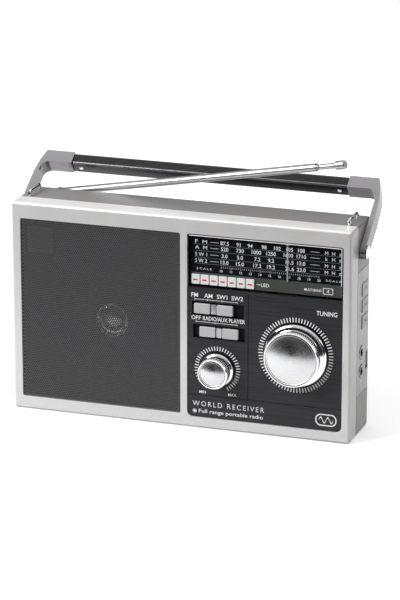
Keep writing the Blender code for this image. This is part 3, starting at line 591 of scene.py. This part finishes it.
def rounded(x0, z0, x1, z1, r, steps=6):
    """The outline of a rectangle with round corners."""
    outline = []
    corners = ((x1 - r, z1 - r, 0), (x0 + r, z1 - r, 90), (x0 + r, z0 + r, 180), (x1 - r, z0 + r, 270))
    for cx, cz, start in corners:
        for i in range(steps + 1):
            a = math.radians(start + 90 * i / steps)
            outline.append((cx + r * math.cos(a), cz + r * math.sin(a)))
    return outline


# ---------------------------------------------------------------- CAD nodes


def dress(node, finish, edge):
    """Gives a CAD node its finish and, with modifiers only, rounded edges of that width or sharp ones."""
    part = NODES[node]
    part.data.materials.clear()
    wear(part.data, finish)
    for label in ("custom_normal", "sharp_edge", "sharp_face"):
        layer = part.data.attributes.get(label)
        if layer:
            part.data.attributes.remove(layer)
    smooth_faces(part.data)
    weld = part.modifiers.new("weld", "WELD")
    weld.merge_threshold = 0.000004
    if edge:
        soften(part, edge, 2, 32.0, 100)
    else:
        crease(part, 30.0)


# Nodes, finish or finishes, edge width and material slot. Nodes that a piece replaces aren't here.
DRESSING = (
    ("front_cabinet", front_silver, 0.25, "front_silver"),
    ("rear_cabinet", silver_paint, 0.2, "silver_paint"),
    ("side_panel", side_silver, 0.15, "front_silver"),
    ("battery_door", door_paint, 0.15, "silver_paint"),
    ("control_fascia", [fascia, slot_painted_shade], 0.15, "black_fascia"),
    ("dial_window", clear_window, 0.2, "clear_window"),
    ("dial_scale", dial_plate, 0.0, "scale_print"),
    ("dial_pointer", pointer_paint, 0.05, "pointer_paint"),
    ("dial_cord", cord_fibre, 0.0, "cord_fibre"),
    ("tuning_knob", chrome, 0.15, "chrome"),
    ("volume_knob", chrome, 0.12, "chrome"),
    ("handle_arm_left handle_arm_right", [satin_arm, shade_darkened_chrome], 0.3, "satin_arm"),
    ("pivot_screw_left pivot_screw_right grip_screw_left grip_screw_right", chrome, 0.05, "chrome"),
    ("strap_lug_left strap_lug_right", chrome, 0.0, "chrome"),
    ("antenna_bracket antenna_swivel", tube_chrome, 0.1, "chrome"),
    ("antenna_outer_tube antenna_middle_tube antenna_inner_tube antenna_rod", tube_chrome, 0.0, "chrome"),
    ("case_screw_a case_screw_b case_screw_c case_screw_d", steel, 0.05, "steel"),
    ("previous_button play_button next_button", white_plastic, 0.3, "white_plastic"),
    ("headphone_jack aux_jack", black_gloss, 0.05, "black_gloss"),
    ("ac_inlet", black_matte, 0.1, "black_gloss"),
    ("speaker_cone", [paper, dust_cap], 0.0, "paper"),
    ("usb_socket speaker_basket mains_transformer", steel, 0.0, "steel"),
    ("battery_spring_contact battery_plate_contact", steel, 0.0, "steel"),
    ("main_board button_board", board, 0.0, "circuit_board"),
    ("ferrite_aerial", ferrite, 0.0, "ferrite"),
    ("tuning_capacitor volume_pot band_switch function_switch tuning_spindle volume_shaft", steel, 0.0, None),
    ("tuning_drum cord_pulley_left cord_pulley_right", grey_plastic, 0.0, None),
)
for nodes, finish, edge, slot in DRESSING:
    for node in nodes.split():
        dress(node, finish, edge)


def second_finish(node, test):
    """Gives the faces that pass a test their node's second finish, and the others its first."""
    mesh = NODES[node].data
    mesh.polygons.foreach_set("material_index", [1 if test(p) else 0 for p in mesh.polygons])


# Painted light in part: the arms are all chrome plating, but the broad face that looks up and forward takes a
# lighter satin finish and the other faces a darker polished one, standing in for light on the front face and
# shade on the rest.
LEAN = math.radians(54.3)  # the handle's lean backwards from upright
ARM_FACE = Vector((0, -math.cos(LEAN), math.sin(LEAN)))
for node in ("handle_arm_left", "handle_arm_right"):
    second_finish(node, lambda p: p.normal.dot(ARM_FACE) <= 0.7)

# Painted shade: the faces inside the slider slots take a darker, duller black than the panel, standing in for
# the shade deep in each slot. Each slot's corners are (x, z), low then high.
SLOTS = ((10.3, 88.1, 50.6, 98.5), (11.2, 70.4, 51.4, 80.8))
SLOT_MOUTH, SLOT_MARGIN = -23.55, 0.1


def in_slot(p):
    x, y, z = (c / MM for c in p.center)
    return y > SLOT_MOUTH and any(
        x0 - SLOT_MARGIN < x < x1 + SLOT_MARGIN and z0 - SLOT_MARGIN < z < z1 + SLOT_MARGIN
        for x0, z0, x1, z1 in SLOTS
    )


second_finish("control_fascia", in_slot)

# The speaker cone is paper, with a glossy dust cap in the middle.
SPEAKER = (-53.3, 76.5)
DUST_CAP_RADIUS = 12.8


def in_dust_cap(p):
    return math.hypot(p.center.x / MM - SPEAKER[0], p.center.z / MM - SPEAKER[1]) < DUST_CAP_RADIUS


second_finish("speaker_cone", in_dust_cap)


# ---------------------------------------------------------------- loudspeaker grille

GRILLE = (-126.4, 8.8, 2.5, 151.1)  # x and z of two corners
GRILLE_FRONT, GRILLE_BACK = -23.5, -23.0
PITCH, HOLE = 1.6, 0.56
ROW_STEP = PITCH * math.sqrt(3) / 2
ROWS = int((GRILLE[3] - GRILLE[1]) / ROW_STEP)
COLUMNS = int((GRILLE[2] - GRILLE[0]) / PITCH)
HEX = np.array([(math.cos(math.radians(30 + 60 * k)), math.sin(math.radians(30 + 60 * k))) for k in range(6)])


def perforated(name, first, last):
    """A sheet pierced by six-sided holes on a triangular grid, both faces and every hole wall drawn."""
    centres = [
        (GRILLE[0] + PITCH * (i + 0.5 * (j % 2)), GRILLE[1] + ROW_STEP * j)
        for j in range(1, ROWS)
        for i in range(first, last)
    ]
    centres = np.array(centres)
    outer = (centres[:, None, :] + HEX * PITCH / math.sqrt(3)).reshape(-1, 2)
    outer, shared = np.unique(np.round(outer, 3), axis=0, return_inverse=True)
    shared = shared.reshape(-1, 6)
    inner = (centres[:, None, :] + HEX * HOLE).reshape(-1, 2)
    n_out, n_in = len(outer), len(inner)

    def layer(flat, y):
        return np.stack([flat[:, 0], np.full(len(flat), y), flat[:, 1]], axis=1)

    points = np.concatenate([layer(flat, y) for flat in (outer, inner) for y in (GRILLE_FRONT, GRILLE_BACK)])
    turned = np.roll(shared, -1, axis=1)
    hole = np.arange(n_in).reshape(-1, 6) + 2 * n_out
    next_hole = np.roll(hole, -1, axis=1)
    front = np.stack([shared, turned, next_hole, hole], axis=2).reshape(-1, 4)
    wall = np.stack([hole, next_hole, next_hole + n_in, hole + n_in], axis=2).reshape(-1, 4)
    back = np.stack([turned + n_out, shared + n_out, hole + n_in, next_hole + n_in], axis=2).reshape(-1, 4)
    faces = np.concatenate([front, wall, back])
    return piece(name, points, faces, grille_metal, "cabinet", "grille_metal")


# The sheet is made in two halves.
grille_left = perforated("grille_sheet_left", 1, COLUMNS // 2)
perforated("grille_sheet_right", COLUMNS // 2, COLUMNS)

border = Heap()
ring_plate(
    border,
    rounded(*GRILLE, 1.4, 4),
    rounded(GRILLE[0] + 1.9, GRILLE[1] + 2.0, GRILLE[2] - 1.9, GRILLE[3] - 2.0, 0.8, 4),
    -23.85,
    -22.8,
)
border_finish = Finish("grille_border", (0.13, 0.13, 0.135), 0.30, 0.4)
border_finish.mottle(500.0, 0.1).polish(200.0, 0.26, 0.36).grain(2400.0, 0.00001, 0.3)
soften(border.build("grille_border", border_finish, "cabinet", "grille_metal"), 0.2)
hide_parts("speaker_grille")

# Cloth behind the sheet, open over the cone.
CLOTH_OPENING, CLOTH_POINTS = 14.6, 96


def square_point(a, x0, z0, x1, z1):
    """Where a ray from the speaker's centre meets a rectangle."""
    dx, dz = math.cos(a), math.sin(a)
    reach = min(
        ((x1 if dx > 0 else x0) - SPEAKER[0]) / dx if abs(dx) > 1e-9 else 1e9,
        ((z1 if dz > 0 else z0) - SPEAKER[1]) / dz if abs(dz) > 1e-9 else 1e9,
    )
    return SPEAKER[0] + reach * dx, SPEAKER[1] + reach * dz


around = [math.radians(45 + 360 * i / CLOTH_POINTS) for i in range(CLOTH_POINTS)]
cloth = Heap()
ring_plate(
    cloth,
    [square_point(a, -124.6, 10.6, 0.7, 149.3) for a in around],
    [(SPEAKER[0] + CLOTH_OPENING * math.cos(a), SPEAKER[1] + CLOTH_OPENING * math.sin(a)) for a in around],
    -21.2,
    -20.8,
)
cloth.build("grille_backing_cloth", grille_cloth, "cabinet", "paper")

# A glossy dome stands in the middle of the cone, close behind the sheet.
dome_profile = [(11.0, -11.5), (12.4, -12.0), (12.4, -21.0), (12.9, -21.6), (12.7, -22.2), (12.0, -22.0)]
dome_profile += [(11.4, -21.7)]
dome_profile += [(11.0 * math.cos(a), -21.6 - 1.2 * math.sin(a)) for a in np.linspace(0, math.pi / 2, 9)[:-1]]
dome_profile += [(0, -22.8)]
dome_points, dome_faces = lathe(dome_profile, 64, SPEAKER)
piece("speaker_dome", dome_points, dome_faces, dust_cap, "cabinet", "paper", smooth=True)

# A small plain square plate behind the top left of the grille.
plate = Heap()
plate.prism(rounded(-119.8, 123.8, -100.0, 143.8, 0.6, 4), -22.7, -22.0)
plate_finish = Finish("corner_plate", (0.36, 0.36, 0.37), 0.5, 0.3)
plate_finish.mottle(500.0, 0.08).grain(1800.0, 0.00002, 0.4)
plate.build("grille_corner_plate", plate_finish, "cabinet", "grille_metal")


# ---------------------------------------------------------------- knobs


CAP_BACK, CAP_FRONT = -35.8, -36.4


def domed_cap(name, centre, radius, node, body, rim, finish):
    """A spun disc with a low crown inside a bright turned rim."""
    inner = radius - rim - 0.25
    profile = [(0, CAP_BACK), (radius * 0.6, CAP_BACK), (radius, CAP_BACK), (radius, CAP_BACK - 0.25)]
    profile += [(radius - 0.25, CAP_BACK - 0.5), (radius - rim, CAP_BACK - 0.5), (inner, CAP_BACK - 0.25)]
    for i in range(1, 13):
        t = i / 12
        profile.append((inner * (1 - t), CAP_BACK - 0.25 - 0.33 * math.sin(t * math.pi / 2)))
    points, faces = lathe(profile, 128, centre)
    origin = (centre[0], CAP_FRONT, centre[1])
    made = piece(name, points, faces, finish, body, "brushed_cap", smooth=True, origin=origin)
    crease(made, 25.0)
    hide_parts(node)


TUNING = (90.7, 64.5)
VOLUME = (30.1, 47.1)
domed_cap("tuning_spun_cap", TUNING, TUNING_CAP_RADIUS, "tuning_knob_cap", "tuning_control", 1.0, spun_tuning)
domed_cap("volume_spun_cap", VOLUME, VOLUME_CAP_RADIUS, "volume_knob_cap", "volume_control", 0.7, spun_volume)


def switch_knob(name, x, z, body, node):
    """A slider: a dark carrier, two white blocks with a bevelled front and a clear marker between them."""
    half = 15.2
    heap = Heap()
    heap.block((x - half, -22.9, z - 4.0), (x + half, -22.1, z + 4.0), 1)
    for x0, x1 in ((-half + 0.2, -2.6), (2.6, half - 0.2)):
        heap.prism(rounded(x + x0, z - 3.8, x + x1, z + 3.8, 0.8, 3), -25.0, -22.9, 0)
    heap.prism(rounded(x - 2.1, z - 3.7, x + 2.1, z + 3.7, 0.5, 3), -24.2, -22.9, 2)
    marker = Finish(name + "_marker", (0.42, 0.43, 0.44), 0.10, 0.6)
    marker.mottle(900.0, 0.1).polish(300.0, 0.08, 0.16)
    made = heap.build(name, [white_plastic, black_gloss, marker], body, "white_plastic")
    soften(made, 0.35, 3)
    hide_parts(node)


switch_knob("band_slider_cap", 27.2, 93.3, "band_slider", "band_switch_knob")
switch_knob("function_slider_cap", 31.4, 75.6, "function_slider", "function_switch_knob")


# ---------------------------------------------------------------- printing on the control panel

FASCIA = -23.7  # the panel's front face
LABEL_BOLD, BAND_FOOT, FUNCTION_FOOT, ENDS_FOOT = 0.05, 101.9, 84.5, 27.4

panel = Print(FASCIA)
panel.ticks(VOLUME, 17.5, 2.5, 48, 0.60, gap=27)
panel.ticks(TUNING, 28.5, 2.8, 75, 0.66)
panel.text("TUNING", 106.2, 96.9, 3.5, width=15.8, bold=0.06)
panel.text("FM", 9.8, BAND_FOOT, 3.3, bold=LABEL_BOLD)
panel.text("AM", 19.8, BAND_FOOT, 3.3, bold=LABEL_BOLD)
panel.text("SW1", 33.7, BAND_FOOT, 3.3, "CENTER", bold=LABEL_BOLD)
panel.text("SW2", 45.4, BAND_FOOT, 3.3, "CENTER", bold=LABEL_BOLD)
panel.text("OFF", 9.8, FUNCTION_FOOT, 3.1, bold=LABEL_BOLD)
panel.text("RADIO/AUX", 28.4, FUNCTION_FOOT, 3.1, "CENTER", width=19.2, bold=0.04)
panel.text("PLAYER", 45.3, FUNCTION_FOOT, 3.1, "CENTER", width=12.4, bold=0.04)
# Under each row of labels a rail, with a mark at each of the slider's places.
for places, rail_z in (((12.4, 22.4, 33.7, 45.4), 100.3), ((13.4, 28.2, 45.3), 83.0)):
    for place in places:
        panel.line([(place, rail_z + 0.7), (place, rail_z - 0.7)], 0.3)
    panel.line([(places[0], rail_z), (places[-1], rail_z)], 0.3)
panel.text("MIN", 18.6, ENDS_FOOT, 2.2, "CENTER", bold=0.04)
panel.text("MAX", 41.8, ENDS_FOOT, 2.2, "CENTER", bold=0.04)
panel.text("WORLD RECEIVER", 10.8, 17.2, 4.0, width=55.8, bold=-0.02, gap=1.35)
panel.text("Full range portable radio", 15.6, 12.0, 3.0, width=50.2, bold=0.03)
panel.ticks((12.4, 13.1), 1.6, 1.6, 12, 0.3)
# A plain rounded outline with a wave takes the corner of the panel.
panel.hoop(rounded(106.2, 12.2, 122.5, 21.5, 4.2, 8), rounded(107.1, 13.1, 121.6, 20.6, 3.4, 8))
WAVE_STEPS, WAVE_HALF_WIDTH = 40, 0.55
wave = [
    (108.9 + 11.0 * i / WAVE_STEPS, 16.85 + 2.1 * math.sin(4 * math.pi * i / WAVE_STEPS))
    for i in range(WAVE_STEPS + 1)
]
upper = [(x, z + WAVE_HALF_WIDTH) for x, z in wave]
lower = [(x, z - WAVE_HALF_WIDTH) for x, z in wave]
for i in range(WAVE_STEPS):
    panel.heap.prism([lower[i], lower[i + 1], upper[i + 1], upper[i]], FASCIA - panel.rise, FASCIA)
panel.build("panel_printing", white_print, "cabinet", "white_plastic")


# ---------------------------------------------------------------- dial

DIAL = -20.2  # the dial plate's front face
PARALLAX = -1.6  # the plate lies behind the window, so its numbers stand left of where they show
# Each band's name, unit, height and stations, with each station's number and place.
BANDS = (
    (
        "F  M", "MHz", 143.6,
        (("87.5", 36), ("91", 46.7), ("94", 55.6), ("98", 66.3), ("102", 76.5), ("105", 85.9), ("108", 94.8)),
    ),
    (
        "A  M", "kHz", 139.1,
        (("520", 36), ("730", 47.9), ("1000", 60.5), ("1250", 71.7), ("1600", 84.9), ("1710", 94.8)),
    ),
    (
        "S W 1", "MHz", 133.9,
        (("3.0", 36), ("5.0", 47.9), ("7.2", 61.2), ("9.2", 71.7), ("11.5", 85.9), ("13.0", 94.8)),
    ),
    (
        "S W 2", "MHz", 129.0,
        (("13.0", 36), ("15.0", 47.9), ("17.2", 61.2), ("19.2", 71.7), ("21.6", 85.9), ("23.0", 94.8)),
    ),
)
dial = Print(DIAL, 0.05)
for band, unit, band_z, stations in BANDS:
    foot = band_z - 1.35
    dial.text(band, 11.6, foot, 2.8, bold=0.0, width=9.2)
    dial.line([(23.4, band_z), (29.6, band_z)], 0.25)
    dial.line([(100.2, band_z), (107.0, band_z)], 0.25)
    for number, number_x in stations:
        dial.text(number, number_x + PARALLAX, foot, 2.9, "CENTER", bold=0.035)
    for letter, letter_x in zip(unit, (112.3, 117.6, 122.6)):
        dial.text(letter, letter_x, foot, 2.7, "CENTER", bold=0.0)
for label_x in (12.8, 112.0):
    dial.text("S C A L E", label_x, 122.2, 1.5, width=11.5, bold=0.0)
SCALE_START, SCALE_STEP = 31.9, 7.48
for step in range(11):
    dial.text(str(10 + step), SCALE_START + SCALE_STEP * step, 121.5, 1.8, "CENTER", bold=0.02)
for tick in range(51):
    tick_x = SCALE_START + SCALE_STEP * tick / 5
    dial.line([(tick_x, 125.6), (tick_x, 124.7 if tick % 5 else 124.1)], 0.2)
dial.build("dial_numbers", dial_print, "cabinet", "scale_print")

rules = Print(DIAL, 0.05)
for rule_z in (141.5, 136.6, 131.4, 126.8):
    rules.line([(11.0, rule_z), (123.8, rule_z)], 0.2)
rules.build("dial_rules", dim_print, "cabinet", "scale_print")

# Level lamp strip: an olive band, seven pale lamps with a coloured bar, and their legend.
STRIP = DIAL - 0.30
LAMP_FRONT, LAMP_START, LAMP_PITCH = -21.75, 9.2, 7.02
strip = Heap()
strip.prism(rounded(8.3, 110.6, 124.4, 119.9, 0.4, 3), STRIP, DIAL)
strip.build("lamp_strip", olive_print, "cabinet", "scale_print")
lamps = Heap()
lamp_bars = Print(LAMP_FRONT)
for lamp in range(7):
    lamp_x = LAMP_START + LAMP_PITCH * lamp
    lamps.prism(rounded(lamp_x, 111.2, lamp_x + 6.1, 118.6, 0.5, 3), LAMP_FRONT, STRIP)
    lamp_bars.bar(lamp_x + 1.3, 113.9, lamp_x + 4.8, 115.1)
lamp_row = soften(lamps.build("signal_lamps", led_tile, "cabinet", "clear_window"), 0.25)
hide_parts("signal_led_lens")
lamp_bars.build("signal_lamp_bars", red_print, "cabinet", "clear_window")
legend = Print(STRIP, 0.05)
legend.line([(59.2, 114.8), (62.0, 114.8)], 0.4)
legend.text("LED", 62.7, 113.5, 2.7)
legend.text("MULTI BAND", 95.8, 113.9, 1.9, width=13.0)
legend.hoop(rounded(110.0, 112.3, 117.6, 117.2, 0.4, 3), rounded(110.5, 112.8, 117.1, 116.7, 0.3, 3))
legend.text("4", 113.8, 113.5, 2.6, "CENTER")
legend.build("lamp_strip_printing", dial_print, "cabinet", "scale_print")

# Painted highlights: bright glowing lines along the window's bevelled edges stand in for the light caught
# there.
edges = Print(-24.2, 0.05)
edges.line([(8.6, 148.9), (124.4, 148.9)], 0.5)
edges.line([(125.0, 121.0), (125.0, 148.9)], 0.4)
edges.build("window_edge_highlights", dial_print, "cabinet", "clear_window")


# ---------------------------------------------------------------- handle grip

PIVOT = (0.3, 141.3)  # (y, z) of the handle's screws
GRIP_LOW, GRIP_HIGH, GRIP_CORNER = 54.6, 64.1, 1.4
GRIP_MIDDLE = (GRIP_LOW + GRIP_HIGH) / 2
GROOVES, GROOVE_WIDTH = 5, 1.24


def leaned(x, n, r):
    """A point in the handle's own frame, n through its thickness and r out from its pivot, leaned to rest."""
    return (
        x,
        PIVOT[0] + n * math.cos(LEAN) + r * math.sin(LEAN),
        PIVOT[1] - n * math.sin(LEAN) + r * math.cos(LEAN),
    )


def grip_corner(n, r, start):
    """A quarter turn of the grip's outline about (n, r), from an angle in degrees."""
    turns = [math.radians(start + 90 * i / 4) for i in range(5)]
    return [(n + GRIP_CORNER * math.cos(a), r + GRIP_CORNER * math.sin(a)) for a in turns]


def grip_outline():
    """(n, r) round the grip, with five shallow grooves along its upper face."""
    low, high = GRIP_LOW + GRIP_CORNER, GRIP_HIGH - GRIP_CORNER
    outline = grip_corner(4.1, high, 0) + grip_corner(-4.1, high, 90)
    for g in range(GROOVES):
        r = GRIP_HIGH - 1.7 - g * GROOVE_WIDTH
        outline += [(-5.5, r - 0.2), (-4.95, r - 0.45), (-4.95, r - 0.8), (-5.5, r - 1.05)]
    return outline + grip_corner(-4.1, low, 180) + grip_corner(4.1, low, 270)


grip_top = Finish("grip_top", (0.030, 0.029, 0.032), 0.38, 0.1)
grip_top.mottle((30.0, 900.0, 900.0), 0.25).polish(140.0, 0.32, 0.44).grain(1800.0, 0.00002, 0.4)
grip_gloss = Finish("grip_gloss", (0.008, 0.008, 0.009), 0.2, 0.0, Specular_IOR_Level=0.28)
grip_gloss.mottle((30.0, 600.0, 600.0), 0.3).polish(140.0, 0.14, 0.26)
# Painted highlight: a lighter metallic strip along the grip's lower edge stands in for the highlight that runs
# there.
grip_edge_highlight = Finish("grip_edge_highlight", (0.22, 0.21, 0.225), 0.26, 0.9)
grip_edge_highlight.mottle((40.0, 900.0, 900.0), 0.10).polish(140.0, 0.18, 0.28)
outline = grip_outline()
count = len(outline)
grip_points, grip_faces = [], []
GRIP_ENDS = ((-108.8, 0.94), (-108.2, 1.0), (108.2, 1.0), (108.8, 0.94))  # place along x, and outline's scale
for x, inset in GRIP_ENDS:
    for n, r in outline:
        grip_points.append(leaned(x, n * inset, GRIP_MIDDLE + (r - GRIP_MIDDLE) * inset))
for s in range(len(GRIP_ENDS) - 1):
    for i in range(count):
        j = (i + 1) % count
        grip_faces.append((s * count + i, s * count + j, (s + 1) * count + j, (s + 1) * count + i))
grip_faces.append(tuple(range(count - 1, -1, -1)))
grip_faces.append(tuple((len(GRIP_ENDS) - 1) * count + i for i in range(count)))

# painted highlight: below EDGE_TOP the grooved face takes the lighter edge strip
EDGE_TOP = 56.0  # the grooved face ends here, above the bright lower edge


def grip_index(face):
    """Which finish a face of the grip takes, from the part of the outline that it spans."""
    if len(face) > 4:
        return 0
    n, r = (sum(outline[i % count][k] for i in face) / 4 for k in (0, 1))
    if n < -4.9 and r > EDGE_TOP:
        return 1
    if n < -4.2 and r <= EDGE_TOP:
        return 2
    return 0


grip = piece(
    "grip_grooved",
    grip_points,
    grip_faces,
    [grip_gloss, grip_top, grip_edge_highlight],
    "handle",
    "black_gloss",
    smooth=True,
    indices=[grip_index(face) for face in grip_faces],
)
crease(grip, 28.0)
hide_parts("handle_grip")


# ---------------------------------------------------------------- antenna

# A banded sleeve on the antenna's rod fills out the step between the tubes and the tip.
ANTENNA_BASE = Vector((-118.0, 36.1, 155.1))
ANTENNA_YAW, ANTENNA_RISE = math.radians(-10.0), math.radians(12.1)
# The sleeve's outline: radius, and distance along the antenna from its tilt pin.
SLEEVE = [(0, 227.6), (1.15, 227.6), (1.75, 227.8), (2.0, 228.1), (2.0, 231.6), (1.8, 231.8), (1.8, 232.3)]
SLEEVE += [(2.0, 232.5), (2.0, 236.2), (1.8, 236.4), (1.8, 236.9), (2.1, 237.1), (2.1, 239.9), (1.7, 240.2)]
SLEEVE += [(1.15, 240.3), (0, 240.3)]
along = Vector(
    (
        math.cos(ANTENNA_YAW) * math.cos(ANTENNA_RISE),
        math.sin(ANTENNA_YAW) * math.cos(ANTENNA_RISE),
        math.sin(ANTENNA_RISE),
    )
)
across = Vector((-math.sin(ANTENNA_YAW), math.cos(ANTENNA_YAW), 0))
upward = along.cross(across)
sleeve_points, sleeve_faces = lathe(SLEEVE, 32, (0, 0))
sleeve_places = [ANTENNA_BASE + along * y + across * x + upward * z for x, y, z in sleeve_points]
sleeve = piece("antenna_sleeve", sleeve_places, sleeve_faces, tube_chrome, "antenna_tip", "chrome", smooth=True)
crease(sleeve, 28.0)


# ---------------------------------------------------------------- side marks

SIDE_BUTTONS, SIDE_PANEL = 133.2, 132.5  # faces that look along +X


def side_marks(name, shapes, body):
    """Thin marks on a side button, from outlines of (y, z)."""
    heap = Heap()
    for shape in shapes:
        n = len(shape)
        points = [(SIDE_BUTTONS, y, z) for y, z in shape] + [(SIDE_BUTTONS + 0.05, y, z) for y, z in shape]
        faces = [tuple(range(n - 1, -1, -1)), tuple(range(n, 2 * n))]
        faces += [(i, (i + 1) % n, (i + 1) % n + n, i + n) for i in range(n)]
        heap.add(points, faces)
    heap.build(name, dim_print, body, "grey_plastic")


def triangle(y, z, size, way):
    """An arrowhead that points along +Y where way is 1, and along -Y where it is -1."""
    back, point = y - way * size * 0.5, y + way * size * 0.6
    return [(back, z - size * 0.6), (point, z), (back, z + size * 0.6)]


def upright(y, z):
    left, right, low, high = y - 0.25, y + 0.25, z - 1.6, z + 1.6
    return [(left, low), (right, low), (right, high), (left, high)]


side_marks("previous_mark", [triangle(12.6, 110.4, 2.6, -1), upright(9.9, 110.4)], "previous_button")
side_marks("play_mark", [triangle(10.6, 97.9, 2.8, 1), upright(13.6, 97.9), upright(14.8, 97.9)], "play_button")
side_marks("next_mark", [triangle(11.4, 85.4, 2.6, 1), upright(14.2, 85.4)], "next_button")


def jack_ring(name, y, z):
    """A turned ring round a jack, about an axis along X."""
    profile = [(3.0, 132.2), (3.0, 132.75), (3.3, 132.95), (4.5, 132.95), (5.1, 132.7), (5.2, 132.2)]
    points, faces = lathe(profile, 48, (y, z))
    points = [(along, y0, z0) for y0, along, z0 in points]
    piece(name, points, [f[::-1] for f in faces], shade_darkened_chrome, "cabinet", "chrome", smooth=True)


def half_ring(radius):
    """The upper half of a circle round the headphone mark's middle."""
    turns = [math.radians(a) for a in range(0, 181, 15)]
    return [(4.5 + radius * math.cos(a), 71.0 + radius * math.sin(a)) for a in turns]


jack_ring("headphone_ring", 4.5, 62.5)
jack_ring("aux_ring", 4.5, 48.0)
side_print = Print(-SIDE_PANEL)
side_print.text("AUX", 4.5, 39.2, 2.2, "CENTER", bold=0.07)
side_print.text("USB", 19.1, 61.2, 2.2, "CENTER", bold=0.07)
arch, inner_arch = half_ring(2.0), half_ring(1.5)
for i in range(len(arch) - 1):
    slice_of_arch = [arch[i], arch[i + 1], inner_arch[i + 1], inner_arch[i]]
    side_print.heap.prism(slice_of_arch, -SIDE_PANEL - side_print.rise, -SIDE_PANEL)
side_print.bar(2.2, 69.4, 3.3, 71.0)
side_print.bar(5.7, 69.4, 6.8, 71.0)
# Made for the front, then turned a quarter about the upright axis.
side_print.heap.points = [(-y, x, z) for x, y, z in side_print.heap.points]
side_print.build("side_printing", white_print, "cabinet", "white_plastic")


# ---------------------------------------------------------------- back marks

BACK = 24.5


def build_at_back(marks, name, body):
    """Printing made for the front, turned half round the upright axis."""
    marks.heap.points = [(-x, -y, z) for x, y, z in marks.heap.points]
    marks.build(name, dark_print, body, "grey_plastic")


inlet_print = Print(-BACK)
inlet_print.text("AC INPUT", 104.0, 37.6, 2.6, "CENTER")
build_at_back(inlet_print, "inlet_label", "cabinet")
door_print = Print(-BACK)
door_print.text("OPEN", -56.5, 55.0, 3.0, "CENTER")
door_print.heap.prism([(-59.0, 53.6), (-56.5, 50.9), (-54.0, 53.6)], -BACK - door_print.rise, -BACK)
# Four cells, each an outline with its two signs.
for cell_z in (17.0, 32.0):
    for cell_x, plus_x, minus_x in ((-102.0, -98.0, -64.0), (-53.0, -15.0, -49.0)):
        door_print.hoop(
            rounded(cell_x, cell_z, cell_x + 42.0, cell_z + 11.0, 1.5, 4),
            rounded(cell_x + 0.5, cell_z + 0.5, cell_x + 41.5, cell_z + 10.5, 1.2, 4),
        )
        door_print.text("+", plus_x, cell_z + 3.6, 4.0, "CENTER")
        door_print.text("-", minus_x, cell_z + 3.6, 4.0, "CENTER")
build_at_back(door_print, "battery_door_marks", "battery_door")


# ---------------------------------------------------------------- floor

FLOOR_HALF, FLOOR_CELLS, FLOOR_Z = 9.0, 24, -0.0002
edge_places = [-FLOOR_HALF + 2 * FLOOR_HALF * i / FLOOR_CELLS for i in range(FLOOR_CELLS + 1)]
floor_points = [(x, y, FLOOR_Z) for y in edge_places for x in edge_places]
row = FLOOR_CELLS + 1
floor_faces = [
    (j * row + i, j * row + i + 1, (j + 1) * row + i + 1, (j + 1) * row + i)
    for j in range(FLOOR_CELLS)
    for i in range(FLOOR_CELLS)
]
floor_mesh = bpy.data.meshes.new("floor")
floor_mesh.from_pydata(floor_points, [], floor_faces)
floor_mesh.materials.append(floor_finish.material)
floor = bpy.data.objects.new("floor", floor_mesh)
bpy.context.scene.collection.objects.link(floor)
floor.visible_diffuse = False  # mirrors see the bright floor, but it throws no diffuse light up the front

# A dark card that only mirrors see, so that the polished parts have something to reflect.
card_finish = Finish("card_finish", (0.02, 0.02, 0.02), 0.9)
card_finish.mottle(4.0, 0.1)
CARD_HALF, CARD_Y, CARD_TOP = 1.5, -0.31, 0.30
card_mesh = bpy.data.meshes.new("front_card")
card_mesh.from_pydata(
    [
        (-CARD_HALF, CARD_Y, 0.0),
        (CARD_HALF, CARD_Y, 0.0),
        (CARD_HALF, CARD_Y, CARD_TOP),
        (-CARD_HALF, CARD_Y, CARD_TOP),
    ],
    [],
    [(0, 1, 2, 3)],
)
card_mesh.materials.append(card_finish.material)
card = bpy.data.objects.new("front_card", card_mesh)
bpy.context.scene.collection.objects.link(card)
card.visible_camera = False
card.visible_diffuse = False
card.visible_shadow = False
card.visible_transmission = False
